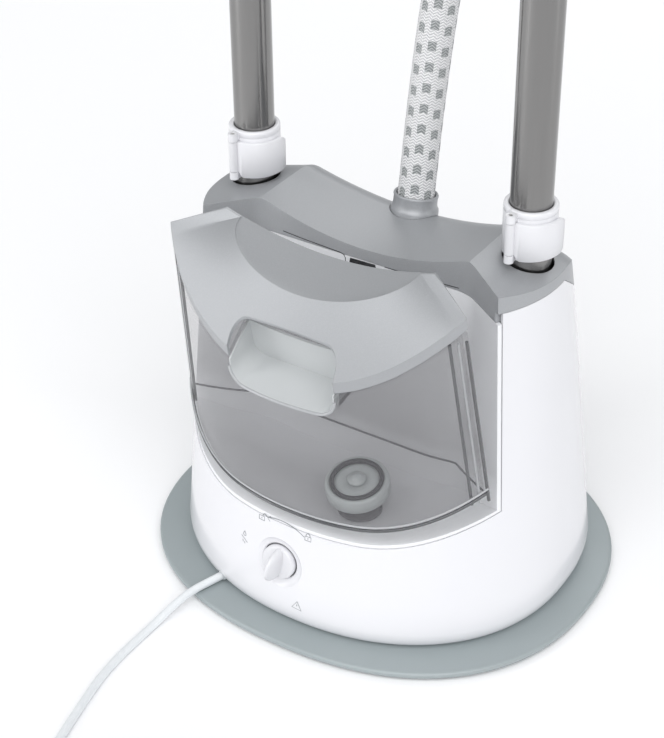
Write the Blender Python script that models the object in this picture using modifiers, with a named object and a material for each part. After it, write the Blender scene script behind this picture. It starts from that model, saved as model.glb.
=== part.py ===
"""Upright garment steamer: an oval base with boiler and pump, a tilting water tank,
a twin-pole mast held by two lever clamps, a handset on its dock, a steam hose and a mains cord.

Metres, +Z up.  The origin is under the middle of the base plate, and the tank faces -Y.
"""

import math

import bmesh
import bpy
from mathutils import Matrix, Vector

# ---- Driving dimensions ----
GAP = 0.0003
PLATE_HALF_X = 0.1587
PLATE_HALF_Y = 0.1388
PLATE_LOW = 0.0020
PLATE_TOP = 0.0065
BODY_LOW = 0.0068
BODY_WIDE_Z = 0.0200
BODY_TOP = 0.2530
WALL = 0.0030
SEAM_Z = 0.2445
REAR_SEAM_Z = 0.1780
SADDLE_Z = 0.2453
SADDLE_RISE = 2.63
CREASE_X = 0.0760
ROLL_RADIUS = 0.0280
ROLL_SLOPE = 1.1
COVER_WALL = 0.0025
BAY_REAR_X = 0.0755
BAY_REAR_Y = -0.0284
BAY_SLOPE = 0.68
LINER_WALL = 0.0025
LINER_TOP = 0.2370
TANK_PIVOT = Vector((0.0, -0.105, 0.092))
TANK_TILT = math.radians(12)
TANK_WALL = 0.0022
CAP_HALF_X = 0.1055
WINDOW_HALF_X = 0.038
WINDOW_LOW = 0.187
WINDOW_BACK_Y = -0.072
VALVE_X = 0.030
VALVE_Y = -0.079
POLE_X = 0.100
POLE_RADIUS = 0.0130
POLE_TUBE_WALL = 0.0012
SOCKET_RADIUS = 0.0143
SOCKET_TOP = 0.2755
CLAMP_LOW = 0.2620
CLAMP_TOP = 0.2945
HINGE_X = -0.0030
HINGE_Y = -0.0200
UPPER_POLE_RADIUS = 0.0113
MAST_TOP = 1.5000
COLLAR_PLACE = Vector((0.0, 0.034, 0.2435))
COLLAR_LEAN = math.radians(10)
HOSE_RADIUS = 0.0120
PUMP_X = -0.085
PUMP_Y = 0.055
KNOB_PLACE = Vector((-0.008, -0.1182, 0.053))
FRONT_SLOPE = math.radians(5.8)
HANDSET_Y = -0.055
CORD_RADIUS = 0.0028
COIL_RADIUS = 0.0308
COIL_HALF = 0.0084
COIL_PLACE = Vector((-0.006, -0.3294, 0.0))
OUTLINE_POINTS = 36
SHARP_ANGLE = math.radians(32)
UPPER_HEIGHTS = (0.150, 0.205, 0.240, 0.275)

PARTS = "garment_steamer"
CUTTERS = "cutters"


# ---- Scene and materials ----
def clear_scene():
    for obj in list(bpy.data.objects):
        bpy.data.objects.remove(obj, do_unlink=True)
    for name in (PARTS, CUTTERS):
        group = bpy.data.collections.new(name)
        bpy.context.scene.collection.children.link(group)


def finish_of(name, colour, roughness, metallic=0.0, alpha=1.0):
    """A plain Principled material for one sub-part."""
    material = bpy.data.materials.new(name)
    material.use_nodes = True
    shader = material.node_tree.nodes["Principled BSDF"]
    shader.inputs["Base Color"].default_value = (*colour, 1.0)
    shader.inputs["Roughness"].default_value = roughness
    shader.inputs["Metallic"].default_value = metallic
    shader.inputs["Alpha"].default_value = alpha
    material.diffuse_color = (*colour, alpha)
    return material


FINISHES = {
    "white": ((0.83, 0.83, 0.84), 0.25, 0.0),
    "silver": ((0.45, 0.46, 0.48), 0.45, 0.4),
    "grey": ((0.46, 0.49, 0.50), 0.45, 0.0),
    "liner": ((0.60, 0.61, 0.62), 0.20, 0.0),
    "smoke": ((0.40, 0.40, 0.42), 0.05, 0.0, 0.4),
    "steel": ((0.55, 0.54, 0.53), 0.28, 1.0),
    "aluminium": ((0.62, 0.62, 0.60), 0.45, 1.0),
    "brass": ((0.60, 0.42, 0.18), 0.40, 1.0),
    "black": ((0.03, 0.03, 0.03), 0.50, 0.0),
    "board": ((0.02, 0.16, 0.07), 0.50, 0.0),
    "rubber": ((0.08, 0.08, 0.08), 0.80, 0.0),
    "fabric": ((0.62, 0.62, 0.62), 0.80, 0.0),
}


def put(obj, finish, parent=None):
    """Links a part, or a cutter where there is no finish, and hangs it on its joint's empty."""
    is_part = finish is not None
    bpy.data.collections[PARTS if is_part else CUTTERS].objects.link(obj)
    if is_part:
        obj.data.materials.append(finish_of(obj.name, *FINISHES[finish]))
    else:
        obj.hide_render = True
        obj.display_type = "WIRE"
    if parent is not None:
        obj.parent = parent
        obj.matrix_parent_inverse = Matrix.Translation(-parent.location)
    return obj


def joint_empty(name, place, turn=(0.0, 0.0, 0.0)):
    """An empty on a joint's axis: its children are modelled in place, then turn with it."""
    empty = bpy.data.objects.new(name, None)
    empty.location = place
    empty.rotation_euler = turn
    empty.empty_display_size = 0.03
    bpy.data.collections[CUTTERS].objects.link(empty)
    return empty


# ---- Shapes ----
def object_from(name, mesh_data, finish, parent=None):
    mesh = bpy.data.meshes.new(name)
    bmesh.ops.triangulate(mesh_data, faces=mesh_data.faces)
    bmesh.ops.recalc_face_normals(mesh_data, faces=mesh_data.faces)
    mesh_data.to_mesh(mesh)
    mesh_data.free()
    mesh.shade_smooth()
    mesh.set_sharp_from_angle(angle=SHARP_ANGLE)
    return put(bpy.data.objects.new(name, mesh), finish, parent)


def loft(name, rings, finish=None, parent=None):
    """A closed solid through rings of equally many points."""
    solid = bmesh.new()
    rows = [[solid.verts.new(point) for point in ring] for ring in rings]
    for low, high in zip(rows, rows[1:]):
        for i in range(len(low)):
            j = (i + 1) % len(low)
            solid.faces.new((low[i], low[j], high[j], high[i]))
    solid.faces.new(rows[0][::-1])
    solid.faces.new(rows[-1])
    return object_from(name, solid, finish, parent)


def prism(name, outline, low, high, finish=None, parent=None, axis="Z"):
    """An outline extruded along Z, or along X or Y, from low to high."""
    places = {
        "X": lambda a, b, h: (h, a, b),
        "Y": lambda a, b, h: (a, h, b),
        "Z": lambda a, b, h: (a, b, h),
    }
    place = places[axis]
    rings = [[place(a, b, h) for a, b in outline] for h in (low, high)]
    return loft(name, rings, finish, parent)


def box(name, low, high, finish=None, parent=None, bevel=0.0):
    """A block between two corners, with rounded edges where bevel is given."""
    low, high = Vector(low), Vector(high)
    solid = bmesh.new()
    matrix = Matrix.Translation((low + high) / 2) @ Matrix.Diagonal((*(high - low), 1.0))
    bmesh.ops.create_cube(solid, size=1.0, matrix=matrix)
    block = object_from(name, solid, finish, parent)
    if bevel:
        edge = block.modifiers.new("edges", "BEVEL")
        edge.width = bevel
        edge.segments = 2
    return block


def turned(name, profile, place, finish=None, parent=None, turn=(0.0, 0.0, 1.0), steps=24):
    """A profile of (radius, height) points, up its outer side, turned round an axis through place."""
    mesh = bpy.data.meshes.new(name)
    points = [(radius, 0.0, height) for radius, height in reversed(profile)]
    edges = [(i, i + 1) for i in range(len(points) - 1)]
    if profile[0][0] > 0.0:
        edges.append((len(points) - 1, 0))
    mesh.from_pydata(points, edges, [])
    solid = bpy.data.objects.new(name, mesh)
    solid.location = place
    solid.rotation_euler = Vector(turn).to_track_quat("Z", "Y").to_euler()
    screw = solid.modifiers.new("turned", "SCREW")
    screw.steps = screw.render_steps = steps
    screw.use_merge_vertices = True
    screw.merge_threshold = 1e-5
    return put(solid, finish, parent)


def cylinder(name, radius, place, length, finish=None, parent=None, axis=(0, 0, 1), steps=20):
    """A cylinder from place along an axis."""
    solid = bmesh.new()
    along = Vector(axis).normalized()
    matrix = Matrix.Translation(Vector(place) + along * (length / 2))
    matrix = matrix @ along.to_track_quat("Z", "Y").to_matrix().to_4x4()
    bmesh.ops.create_cone(
        solid, cap_ends=True, segments=steps, radius1=radius, radius2=radius,
        depth=length, matrix=matrix,
    )
    return object_from(name, solid, finish, parent)


def ring(name, inner, outer, low, high, x, y, finish=None, parent=None, steps=20):
    """A plain tube or ring that stands on a vertical axis."""
    profile = [(inner, low), (outer, low), (outer, high), (inner, high)]
    return turned(name, profile, (x, y, 0.0), finish, parent, steps=steps)


def wire(name, points, radius, finish, parent=None):
    """A round tube with filled ends along points."""
    curve = bpy.data.curves.new(name, "CURVE")
    curve.dimensions = "3D"
    curve.bevel_depth = radius
    curve.bevel_resolution = 2
    curve.use_fill_caps = True
    spline = curve.splines.new("POLY")
    spline.points.add(len(points) - 1)
    for point, where in zip(spline.points, points):
        point.co = (*where, 1.0)
    return put(bpy.data.objects.new(name, curve), finish, parent)


def smooth_route(knots, spacing):
    """Evenly spaced points on a smooth curve through the knots."""
    knots = [Vector(knot) for knot in knots]
    ends = [2 * knots[0] - knots[1]] + knots + [2 * knots[-1] - knots[-2]]
    dense = []
    for a, b, c, d in zip(ends, ends[1:], ends[2:], ends[3:]):
        for step in range(20):
            t = step / 20
            dense.append(0.5 * (2 * b + (c - a) * t + (2 * a - 5 * b + 4 * c - d) * t ** 2
                                + (3 * b - a - 3 * c + d) * t ** 3))
    dense.append(knots[-1])
    length = sum((b - a).length for a, b in zip(dense, dense[1:]))
    count = max(2, round(length / spacing))
    picked = [dense[0]]
    walked, target = 0.0, length / count
    for a, b in zip(dense, dense[1:]):
        step = (b - a).length
        while walked + step >= target * len(picked) and len(picked) < count:
            picked.append(a.lerp(b, (target * len(picked) - walked) / step))
        walked += step
    return picked + [dense[-1]]


def combine(obj, other, operation):
    """Adds a live Boolean, 'DIFFERENCE', 'UNION' or 'INTERSECT', with a cutter."""
    boolean = obj.modifiers.new(other.name, "BOOLEAN")
    boolean.operation = operation
    boolean.solver = "EXACT"
    boolean.object = other


def cut(obj, *others):
    for other in others:
        combine(obj, other, "DIFFERENCE")


def join(obj, *others):
    for other in others:
        combine(obj, other, "UNION")


# ---- The body's form ----
def mix(a, b, share):
    return a + (b - a) * share


def superellipse(half_x, front, rear, middle_y, front_power, rear_power, count=OUTLINE_POINTS):
    """An oval whose front and rear halves bow by different amounts about middle_y."""
    points = []
    for i in range(count):
        angle = 2 * math.pi * i / count
        c, s = math.cos(angle), math.sin(angle)
        power = rear_power if s > 0 else front_power
        half_y = rear if s > 0 else front
        x = half_x * math.copysign(abs(c) ** (2 / power), c)
        y = middle_y + half_y * math.copysign(abs(s) ** (2 / power), s)
        points.append((x, y))
    return points


def body_front_y(z):
    return mix(-0.1215, -0.0980, (z - BODY_WIDE_Z) / (BODY_TOP - BODY_WIDE_Z))


def body_rear_y(z):
    return 0.131 - 0.2 * z - 0.009 * (z / 0.25) ** 6


def body_outline(z, inset=0.0):
    """The housing's outline at one height, narrowing upwards, rounded under near its foot."""
    share = (z - BODY_WIDE_Z) / (BODY_TOP - BODY_WIDE_Z)
    if z < BODY_WIDE_Z:
        drop = min(1.0, (BODY_WIDE_Z - z) / 0.0134)
        inset += 0.008 * (1 - math.sqrt(1 - drop * drop))
        share = 0.0
        z = BODY_WIDE_Z
    middle = mix(0.002, -0.002, share)
    half_x = mix(0.1395, 0.1220, share)
    front_power = mix(2.15, 2.05, share)
    return superellipse(half_x - inset, middle - body_front_y(z) - inset,
                        body_rear_y(z) - middle - inset, middle, front_power, 2.3)


def body_rings(heights, inset=0.0):
    return [[(x, y, z) for x, y in body_outline(z, inset)] for z in heights]


def saddle_z(x):
    """The cover's top dips in the middle, rises to a crease and falls off towards the sides."""
    if abs(x) < CREASE_X:
        return SADDLE_Z + SADDLE_RISE * x * x
    return SADDLE_Z + SADDLE_RISE * CREASE_X ** 2 - 0.17 * (abs(x) - CREASE_X)


def cover_top_z(x, y):
    """The saddle, rolling off at the rear into a shoulder of steady slope."""
    past = max(0.0, y - (0.024 - 0.011 * (x / 0.095) ** 2))
    bend = min(past, ROLL_SLOPE * ROLL_RADIUS)
    return saddle_z(x) - bend * bend / (2 * ROLL_RADIUS) - ROLL_SLOPE * (past - bend)


def bay_edge_z(x):
    """The front edge of the housing under the tank, rising towards the sides."""
    return 0.086 + min(0.0125 * (max(0.0, abs(x) - 0.045) / 0.055) ** 2, 0.060)


def sky(name, drop, parent=None):
    """A block whose underside is the cover's top, lowered by drop."""
    left = [-0.160, -0.110, -CREASE_X, -0.052, -0.026]
    xs = left + [0.0] + [-x for x in reversed(left)]
    ys = [-0.24, 0.008, 0.020, 0.031, 0.042, 0.055, 0.12]
    rings = []
    for y in ys:
        low = [(x, y, cover_top_z(x, y) - drop) for x in xs]
        rings.append(low + [(0.16, y, 0.36), (-0.16, y, 0.36)])
    return loft(name, rings, parent=parent)


def bay_plan(name, outset, low, high, parent=None):
    """The bay seen from above, from its rear wall and slanting sides out past the front."""
    corner = []
    reach = outset * 0.55
    for step in range(5):
        share = step / 4
        blend = 0.009 * (1 - share) ** 2
        fall = 0.009 * share ** 2
        corner.append((BAY_REAR_X + reach - blend + fall * 0.83,
                       BAY_REAR_Y + outset - fall * 0.83 * BAY_SLOPE))
    side_x = 0.17
    side_y = BAY_REAR_Y + outset - BAY_SLOPE * (side_x - BAY_REAR_X - reach)
    right = corner + [(side_x, side_y), (side_x, -0.24)]
    left = [(-x, y) for x, y in reversed(right)]
    return prism(name, right + left, low, high, parent=parent)


def ledge(name, lift, parent=None):
    """The block under the bay: its top is the bay floor, lifted by lift."""
    right = [0.045, 0.065, 0.085, 0.105, 0.125, 0.170]
    xs = [-x for x in reversed(right)] + right
    outline = [(x, bay_edge_z(x) + lift) for x in xs] + [(0.17, 0.03), (-0.17, 0.03)]
    return prism(name, outline, -0.26, 0.06, parent=parent, axis="Y")


def seam(name, lift, above):
    """All that lies below, or above, the joint line between housing and cover."""
    line = [(-0.26, SEAM_Z), (0.006, SEAM_Z), (0.100, REAR_SEAM_Z), (0.18, REAR_SEAM_Z)]
    line = [(y, z + lift) for y, z in line]
    far = 0.40 if above else -0.05
    return prism(name, line + [(0.18, far), (-0.26, far)], -0.2, 0.2, axis="X")


# ---- Base and casings ----
def make_base():
    """The weighted oval plate and the rubber sheet that it stands on."""
    rings = []
    for z, inset in ((PLATE_LOW, 0.0010), (0.0032, 0.0), (0.0048, 0.0), (PLATE_TOP, 0.0018)):
        oval = superellipse(PLATE_HALF_X - inset, PLATE_HALF_Y - inset, PLATE_HALF_Y - inset,
                            0.0, 2.27, 2.27, 40)
        rings.append([(x, y, z) for x, y in oval])
    loft("base_plate", rings, "grey")
    pad = superellipse(0.136, 0.118, 0.118, 0.0, 2.2, 2.2, 28)
    prism("anti_slip_pad", pad, 0.0, PLATE_LOW - GAP, "rubber")


def make_housing():
    """The white lower casing: an open shell with a bay for the tank."""
    housing = loft("housing", body_rings((BODY_LOW, 0.009, 0.013, 0.020) + UPPER_HEIGHTS), "white")
    core = [[(x, y, z) for x, y in body_outline(BODY_WIDE_Z, inset)]
            for z, inset in ((-0.01, 0.0110), (0.009, 0.0110), (0.022, 0.0034))]
    core += body_rings(UPPER_HEIGHTS, WALL)
    bay = bay_plan("housing_bay_cut", LINER_WALL + GAP, 0.04, 0.30)
    cut(bay, ledge("housing_ledge_cut", -LINER_WALL - GAP))
    away = KNOB_PLACE - Vector((0, -math.cos(FRONT_SLOPE), math.sin(FRONT_SLOPE))) * 0.012
    cut(housing, loft("housing_core", core), seam("housing_seam_cut", -GAP, True), bay,
        cylinder("cord_hole", 0.0046, (-0.0560, -0.0890, 0.0116), 0.035, axis=CORD_OUT, steps=16),
        cylinder("knob_hole", 0.0126, away, 0.03,
                 axis=(0, -math.cos(FRONT_SLOPE), math.sin(FRONT_SLOPE)), steps=27),
        box("rocker_hole", (-0.0125, 0.09, 0.050), (0.0125, 0.14, 0.074)))


def make_bay():
    """The glossy liner of the tank bay, with a hole over the inlet seat."""
    bay = loft("tank_bay", body_rings((0.070, 0.150, 0.205, LINER_TOP), 0.0006), "liner")
    plan = bay_plan("bay_outer", LINER_WALL, 0.05, 0.30)
    hollow = bay_plan("bay_inner", 0.0, 0.05, 0.30)
    cut(hollow, ledge("bay_floor_cut", 0.0))
    combine(bay, plan, "INTERSECT")
    cut(bay, ledge("bay_under_cut", -LINER_WALL), hollow,
        cylinder("seat_hole", 0.0093, (VALVE_X, VALVE_Y, 0.07), 0.03))
    turned("inlet_seat",
           [(0.0040, 0.0700), (0.0090, 0.0700), (0.0090, 0.0873), (0.0145, 0.0873),
            (0.0145, 0.0886), (0.0070, 0.0886), (0.0040, 0.0840)],
           (VALVE_X, VALVE_Y, 0.0), "black", steps=20)


def make_cover():
    """The silver top: a saddle with pole holes, a shoulder behind and a skirt in the bay."""
    cover = loft("top_cover", body_rings(UPPER_HEIGHTS), "silver")
    cut(cover, seam("cover_seam_cut", 0.0, False))
    tongue = loft("cover_tongue", body_rings(UPPER_HEIGHTS, WALL + 2 * GAP))
    cut(tongue, seam("tongue_seam_cut", LINER_TOP + GAP - SEAM_Z, False))
    join(cover, tongue)
    core = loft("cover_core", body_rings(UPPER_HEIGHTS, WALL + 2 * GAP + 0.0026))
    cut(core, sky("cover_under", COVER_WALL), bay_plan("cover_skirt", COVER_WALL, 0.1, 0.30))
    cut(cover, core, sky("cover_top", 0.0), bay_plan("cover_bay_cut", 0.0, 0.1, 0.30),
        cylinder("hose_hole", 0.0161, COLLAR_PLACE - collar_axis() * 0.03, 0.06,
                 axis=collar_axis(), steps=28))
    for side, x in SIDES:
        cut(cover, cylinder("pole_hole_" + side, 0.0160, (x, 0.0, 0.2), 0.08, steps=28))


# ---- Water and steam inside the housing ----
def make_steam_works():
    """Boiler with its heater, pump, pipes, thermostat and control board."""
    turned("boiler", [(0.0, 0.0380), (0.0400, 0.0380), (0.0440, 0.0430), (0.0440, 0.0980),
                      (0.0380, 0.1080), (0.0, 0.1080)], (0.0, 0.045, 0.0), "aluminium")
    heater = [(0.03 * math.cos(a), 0.045 + 0.03 * math.sin(a), 0.0330)
              for a in [math.radians(20 + 16 * i) for i in range(21)]]
    wire("heater_element", heater, 0.0038, "steel")
    cylinder("thermostat", 0.009, (0.022, 0.045, 0.1083), 0.007, "black")
    turned("water_pump",
           [(0.0, 0.030), (0.017, 0.030), (0.017, 0.070), (0.009, 0.076), (0.0, 0.076)],
           (PUMP_X, PUMP_Y, 0.0), "black", steps=20)
    inlet = [(VALVE_X, VALVE_Y, 0.0697), (VALVE_X, VALVE_Y, 0.050), (0.015, -0.060, 0.030),
             (-0.040, -0.030, 0.022), (-0.073, -0.006, 0.028), (PUMP_X, 0.015, 0.040),
             (PUMP_X, PUMP_Y - 0.0175, 0.045)]
    wire("pump_inlet_pipe", smooth_route(inlet, 0.014), 0.0032, "fabric")
    feed = [(PUMP_X, PUMP_Y, 0.0763), (PUMP_X, PUMP_Y, 0.100), (-0.065, 0.052, 0.122),
            (-0.035, 0.047, 0.128), (-0.018, 0.045, 0.120), (-0.018, 0.045, 0.1083)]
    wire("boiler_feed_pipe", smooth_route(feed, 0.012), 0.0030, "fabric")
    base = COLLAR_PLACE - collar_axis() * 0.0163
    steam = smooth_route([(0.0, 0.045, 0.1083), (0.0, 0.045, 0.130), (0.0, 0.040, 0.165),
                          (0.0, 0.028, 0.195), base - collar_axis() * 0.012, base], 0.010)
    wire("steam_pipe", steam, 0.0055, "fabric")
    box("control_board", (0.030, 0.0680, 0.125), (0.080, 0.0696, 0.165), "board")


def make_switch():
    """The mains rocker in the rear wall, at rest in its off position."""
    hinge = joint_empty("rocker_axis", (0.0, 0.1120, 0.062), (math.radians(-7), 0, 0))
    box("power_rocker", (-0.0115, 0.1085, 0.0522), (0.0115, 0.1215, 0.0718), "black",
        hinge, bevel=0.001)


def make_knob():
    """The drain knob: a disc with a blade grip, on the drain valve's plug behind it."""
    out = Vector((0.0, -math.cos(FRONT_SLOPE), math.sin(FRONT_SLOPE)))
    hinge = joint_empty("knob_axis", KNOB_PLACE)
    knob = cylinder("drain_knob", 0.0120, KNOB_PLACE - out * 0.0045, 0.0055, "white", hinge,
                    axis=out, steps=32)
    grip = bmesh.new()
    bmesh.ops.create_uvsphere(grip, u_segments=16, v_segments=10, radius=1.0)
    matrix = Matrix.Translation(KNOB_PLACE + out * 0.0012)
    matrix = matrix @ out.to_track_quat("Z", "Y").to_matrix().to_4x4()
    matrix = matrix @ Matrix.Diagonal((0.0045, 0.0145, 0.0145, 1.0))
    bmesh.ops.transform(grip, matrix=matrix, verts=grip.verts)
    grip = object_from("knob_grip", grip, None, hinge)
    cut(grip, cylinder("grip_trim", 0.03, KNOB_PLACE - out * 0.03, 0.0305, parent=hinge, axis=out))
    join(knob, grip)
    stem = cylinder("knob_stem", 0.0040, KNOB_PLACE - out * 0.0150, 0.0120, parent=hinge, axis=out)
    join(knob, stem)
    cylinder("drain_valve", 0.0100, KNOB_PLACE - out * 0.0353, 0.020, "brass", axis=out)


# ---- Tank ----
def cap_rows(inset, drop, shares):
    """Rings across the tank cap: a dished top, a sloping front and a strip along the front edge."""
    rows = []
    for share in shares:
        side = abs(share)
        sign = math.copysign(1.0, share)
        if side < 0.8:
            angle = math.pi / 2 * side / 0.8
            arc_x, arc_y = 0.064 * math.sin(angle), -0.0315 - 0.0365 * math.cos(angle)
        else:
            arc_x, arc_y = mix(0.064, 0.0742, (side - 0.8) / 0.2), -0.0315
        edge_x = CAP_HALF_X * math.sin(math.pi / 2 * side ** 0.9)
        edge_z = 0.2085 + 0.0435 * (edge_x / CAP_HALF_X) ** 2.2
        edge_y = front_y_at(edge_x, edge_z) + inset
        rear_x = arc_x
        top = [(rear_x, -0.0303 - inset, saddle_z(rear_x) - 0.0004),
               (arc_x, arc_y - inset, saddle_z(arc_x) - 0.0004),
               (mix(arc_x, edge_x, 0.5), mix(arc_y, edge_y, 0.5),
                mix(saddle_z(arc_x), edge_z, 0.5) + 0.0016 * (1 - side)),
               (edge_x, edge_y, edge_z)]
        low = [(edge_x, edge_y, edge_z - 0.0085 - drop),
               (rear_x, -0.0303 - inset, saddle_z(rear_x) - 0.0095 - drop)]
        points = [(x, y, z - inset * 1.1) for x, y, z in top] + low
        rows.append([(sign * x, y, z) for x, y, z in points])
    return rows


def front_y_at(x, z, inset=0.0008):
    """How far forward the body's outline lies at x and z."""
    share = (z - BODY_WIDE_Z) / (BODY_TOP - BODY_WIDE_Z)
    middle = mix(0.002, -0.002, share)
    half_x = mix(0.1395, 0.1220, share) - inset
    half_y = middle - body_front_y(z) - inset
    power = mix(2.15, 2.05, share)
    return middle - half_y * (1 - min(1.0, abs(x) / half_x) ** power) ** (1 / power)


def make_tank():
    """The smoky tank with its finger pocket, the silver cap, and the valve cap in its floor."""
    hinge = joint_empty("tank_axis", TANK_PIVOT, (TANK_TILT, 0, 0))
    tank = loft("tank_body", body_rings((0.080,) + UPPER_HEIGHTS, 0.0008), "smoke", hinge)
    combine(tank, bay_plan("tank_plan", -0.0018, 0.08, 0.27, hinge), "INTERSECT")
    shares = [i / 10 for i in range(-10, 11)]
    roof = []
    for share, row in zip(shares, cap_rows(0.0, 0.0014, shares)):
        front, rear = Vector(row[4]), Vector(row[5])
        ahead = front + (front - rear) * 0.5
        behind = rear + (rear - front) * 0.5
        roof.append([tuple(ahead), tuple(behind),
                     (behind.x, behind.y, 0.42), (ahead.x, ahead.y, 0.42)])
    first, last = roof[0], roof[-1]
    roof = [[(x - 0.05, y, z) for x, y, z in first]] + roof + [[(x + 0.05, y, z) for x, y, z in last]]
    pocket = box("finger_pocket", (-WINDOW_HALF_X, -0.16, WINDOW_LOW),
                 (WINDOW_HALF_X, WINDOW_BACK_Y, 0.30), None, hinge)
    pocket_skin = box("finger_pocket_skin",
                      (-WINDOW_HALF_X - TANK_WALL, -0.16, WINDOW_LOW - TANK_WALL),
                      (WINDOW_HALF_X + TANK_WALL, WINDOW_BACK_Y + TANK_WALL, 0.31), None, hinge)
    cavity = loft("tank_cavity", body_rings((0.080,) + UPPER_HEIGHTS, 0.0008 + TANK_WALL),
                  None, hinge)
    combine(cavity, bay_plan("cavity_plan", -0.0018 - TANK_WALL, 0.07, 0.29, hinge), "INTERSECT")
    cut(cavity, ledge("cavity_floor", 0.0092 + TANK_WALL, hinge), pocket_skin)
    cut(tank, ledge("tank_floor", 0.0092, hinge), loft("tank_roof", roof, None, hinge),
        cavity, pocket,
        cylinder("valve_hole", 0.0125, (VALVE_X, VALVE_Y, 0.08), 0.04, None, hinge, steps=24))

    cap = loft("tank_cap", cap_rows(0.0, 0.0, shares), "silver", hinge)
    inner_shares = [0.955 * share for share in shares]
    inner = loft("cap_hollow", cap_rows(0.0022, 0.02, inner_shares), None, hinge)
    notch = box("cap_notch", (-WINDOW_HALF_X, -0.16, 0.10), (WINDOW_HALF_X, -0.083, 0.30),
                None, hinge)
    cut(cap, inner, notch)

    turned("tank_valve_cap", [(0.0040, 0.0900), (0.0118, 0.0900), (0.0118, 0.0984),
                              (0.0205, 0.0984), (0.0210, 0.0990), (0.0210, 0.1070),
                              (0.0195, 0.1085), (0.0160, 0.1085), (0.0155, 0.1070),
                              (0.0040, 0.1070)],
           (VALVE_X, VALVE_Y, 0.0), "liner", hinge, steps=24)
    turned("valve_plunger", [(0.0, 0.0905), (0.0036, 0.0905), (0.0036, 0.1080), (0.0062, 0.1080),
                             (0.0062, 0.1095), (0.0030, 0.1110), (0.0, 0.1110)],
           (VALVE_X, VALVE_Y, 0.0), "black", hinge, steps=16)


# ---- Mast ----
def make_sockets_and_clamps():
    """Socket tubes in the body, and on each a white clamp with a hinged lever and its pin."""
    for side, x in SIDES:
        ring("socket_tube_" + side, POLE_RADIUS + GAP, SOCKET_RADIUS, 0.010, SOCKET_TOP,
             x, 0.0, "steel")
        grip = POLE_RADIUS + GAP
        shell = SOCKET_RADIUS + GAP
        collar = turned("clamp_collar_" + side,
                        [(shell, CLAMP_LOW), (0.0166, CLAMP_LOW), (0.0166, CLAMP_TOP - 0.001),
                         (0.0158, CLAMP_TOP), (grip, CLAMP_TOP), (grip, SOCKET_TOP + GAP),
                         (shell, SOCKET_TOP + GAP)], (x, 0.0, 0.0), "white", steps=20)
        hinge_place = (x + HINGE_X, HINGE_Y, 0.0)
        for label, low, high in (("low", CLAMP_LOW, 0.2673), ("high", 0.2887, CLAMP_TOP)):
            boss = cylinder("boss_%s_%s" % (label, side), 0.0030,
                            (hinge_place[0], HINGE_Y, low), high - low, steps=10)
            web = box("web_%s_%s" % (label, side), (hinge_place[0] - 0.0024, HINGE_Y, low + 0.0001),
                      (hinge_place[0] + 0.0024, -0.0154, high - 0.0002))
            join(collar, boss, web)
        bore = cylinder("hinge_bore_" + side, 0.0014, (hinge_place[0], HINGE_Y, 0.25), 0.06, steps=12)
        cut(collar, bore)
        cylinder("clamp_pin_" + side, 0.0011, (hinge_place[0], HINGE_Y, CLAMP_LOW + 0.0004),
                 CLAMP_TOP - CLAMP_LOW - 0.0008, "steel", steps=12)

        hinge = joint_empty("lever_axis_" + side, hinge_place)
        band = []
        start, end, steps = math.radians(-94), math.radians(18), 14
        for radius, order in ((0.0171, range(steps + 1)), (0.0195, range(steps, -1, -1))):
            for step in order:
                angle = mix(start, end, step / steps)
                reach = radius + (0.0012 * step / steps if radius > 0.018 else 0.0)
                band.append((x + reach * math.cos(angle), reach * math.sin(angle)))
        lever = prism("clamp_lever_" + side, band, 0.2676, 0.2884, "white", hinge)
        barrel = cylinder("lever_barrel_" + side, 0.0029, (hinge_place[0], HINGE_Y, 0.2676),
                          0.0208, None, hinge, steps=16)
        join(lever, barrel)
        lever_bore = cylinder("lever_bore_" + side, 0.0014, (hinge_place[0], HINGE_Y, 0.25),
                              0.06, None, hinge, steps=12)
        cut(lever, lever_bore)


def make_poles(mast):
    """Lower and upper pole tubes with the couplings that join them."""
    for side, x in SIDES:
        ring("lower_pole_" + side, POLE_RADIUS - POLE_TUBE_WALL, POLE_RADIUS, 0.200, 0.860,
             x, 0.0, "steel", mast)
        ring("upper_pole_" + side, UPPER_POLE_RADIUS - POLE_TUBE_WALL, UPPER_POLE_RADIUS,
             0.760, MAST_TOP - 0.002, x, 0.0, "steel", mast)
        turned("pole_coupling_" + side,
               [(POLE_RADIUS + GAP, 0.826), (0.0158, 0.828), (0.0158, 0.864), (0.0145, 0.876),
                (UPPER_POLE_RADIUS + GAP, 0.876), (UPPER_POLE_RADIUS + GAP, 0.8603),
                (POLE_RADIUS + GAP, 0.8603)],
               (x, 0.0, 0.0), "white", mast, steps=24)


def make_bridge(mast):
    """The bridge across the pole tops and the dock in which the handset hangs."""
    bridge = box("mast_bridge", (-0.120, -0.0165, 1.472), (0.120, 0.0165, 1.508), "white", mast,
                 bevel=0.006)
    for side, x in SIDES:
        cut(bridge, cylinder("bridge_bore_" + side, UPPER_POLE_RADIUS + GAP, (x, 0.0, 1.46),
                             MAST_TOP - 0.0017 - 1.46, None, mast, steps=28))
    dock = box("handset_dock", (-0.034, -0.078, 1.482), (0.034, -0.0168, 1.496), "silver", mast,
               bevel=0.003)
    half_round = [(0.0165 * math.cos(a), HANDSET_Y + 0.0165 * math.sin(a))
                  for a in [math.radians(180 - 15 * i) for i in range(13)]]
    slot_outline = [(-0.0165, -0.2)] + half_round + [(0.0165, -0.2)]
    cut(dock, prism("dock_slot", slot_outline, 1.40, 1.55, None, mast))


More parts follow.
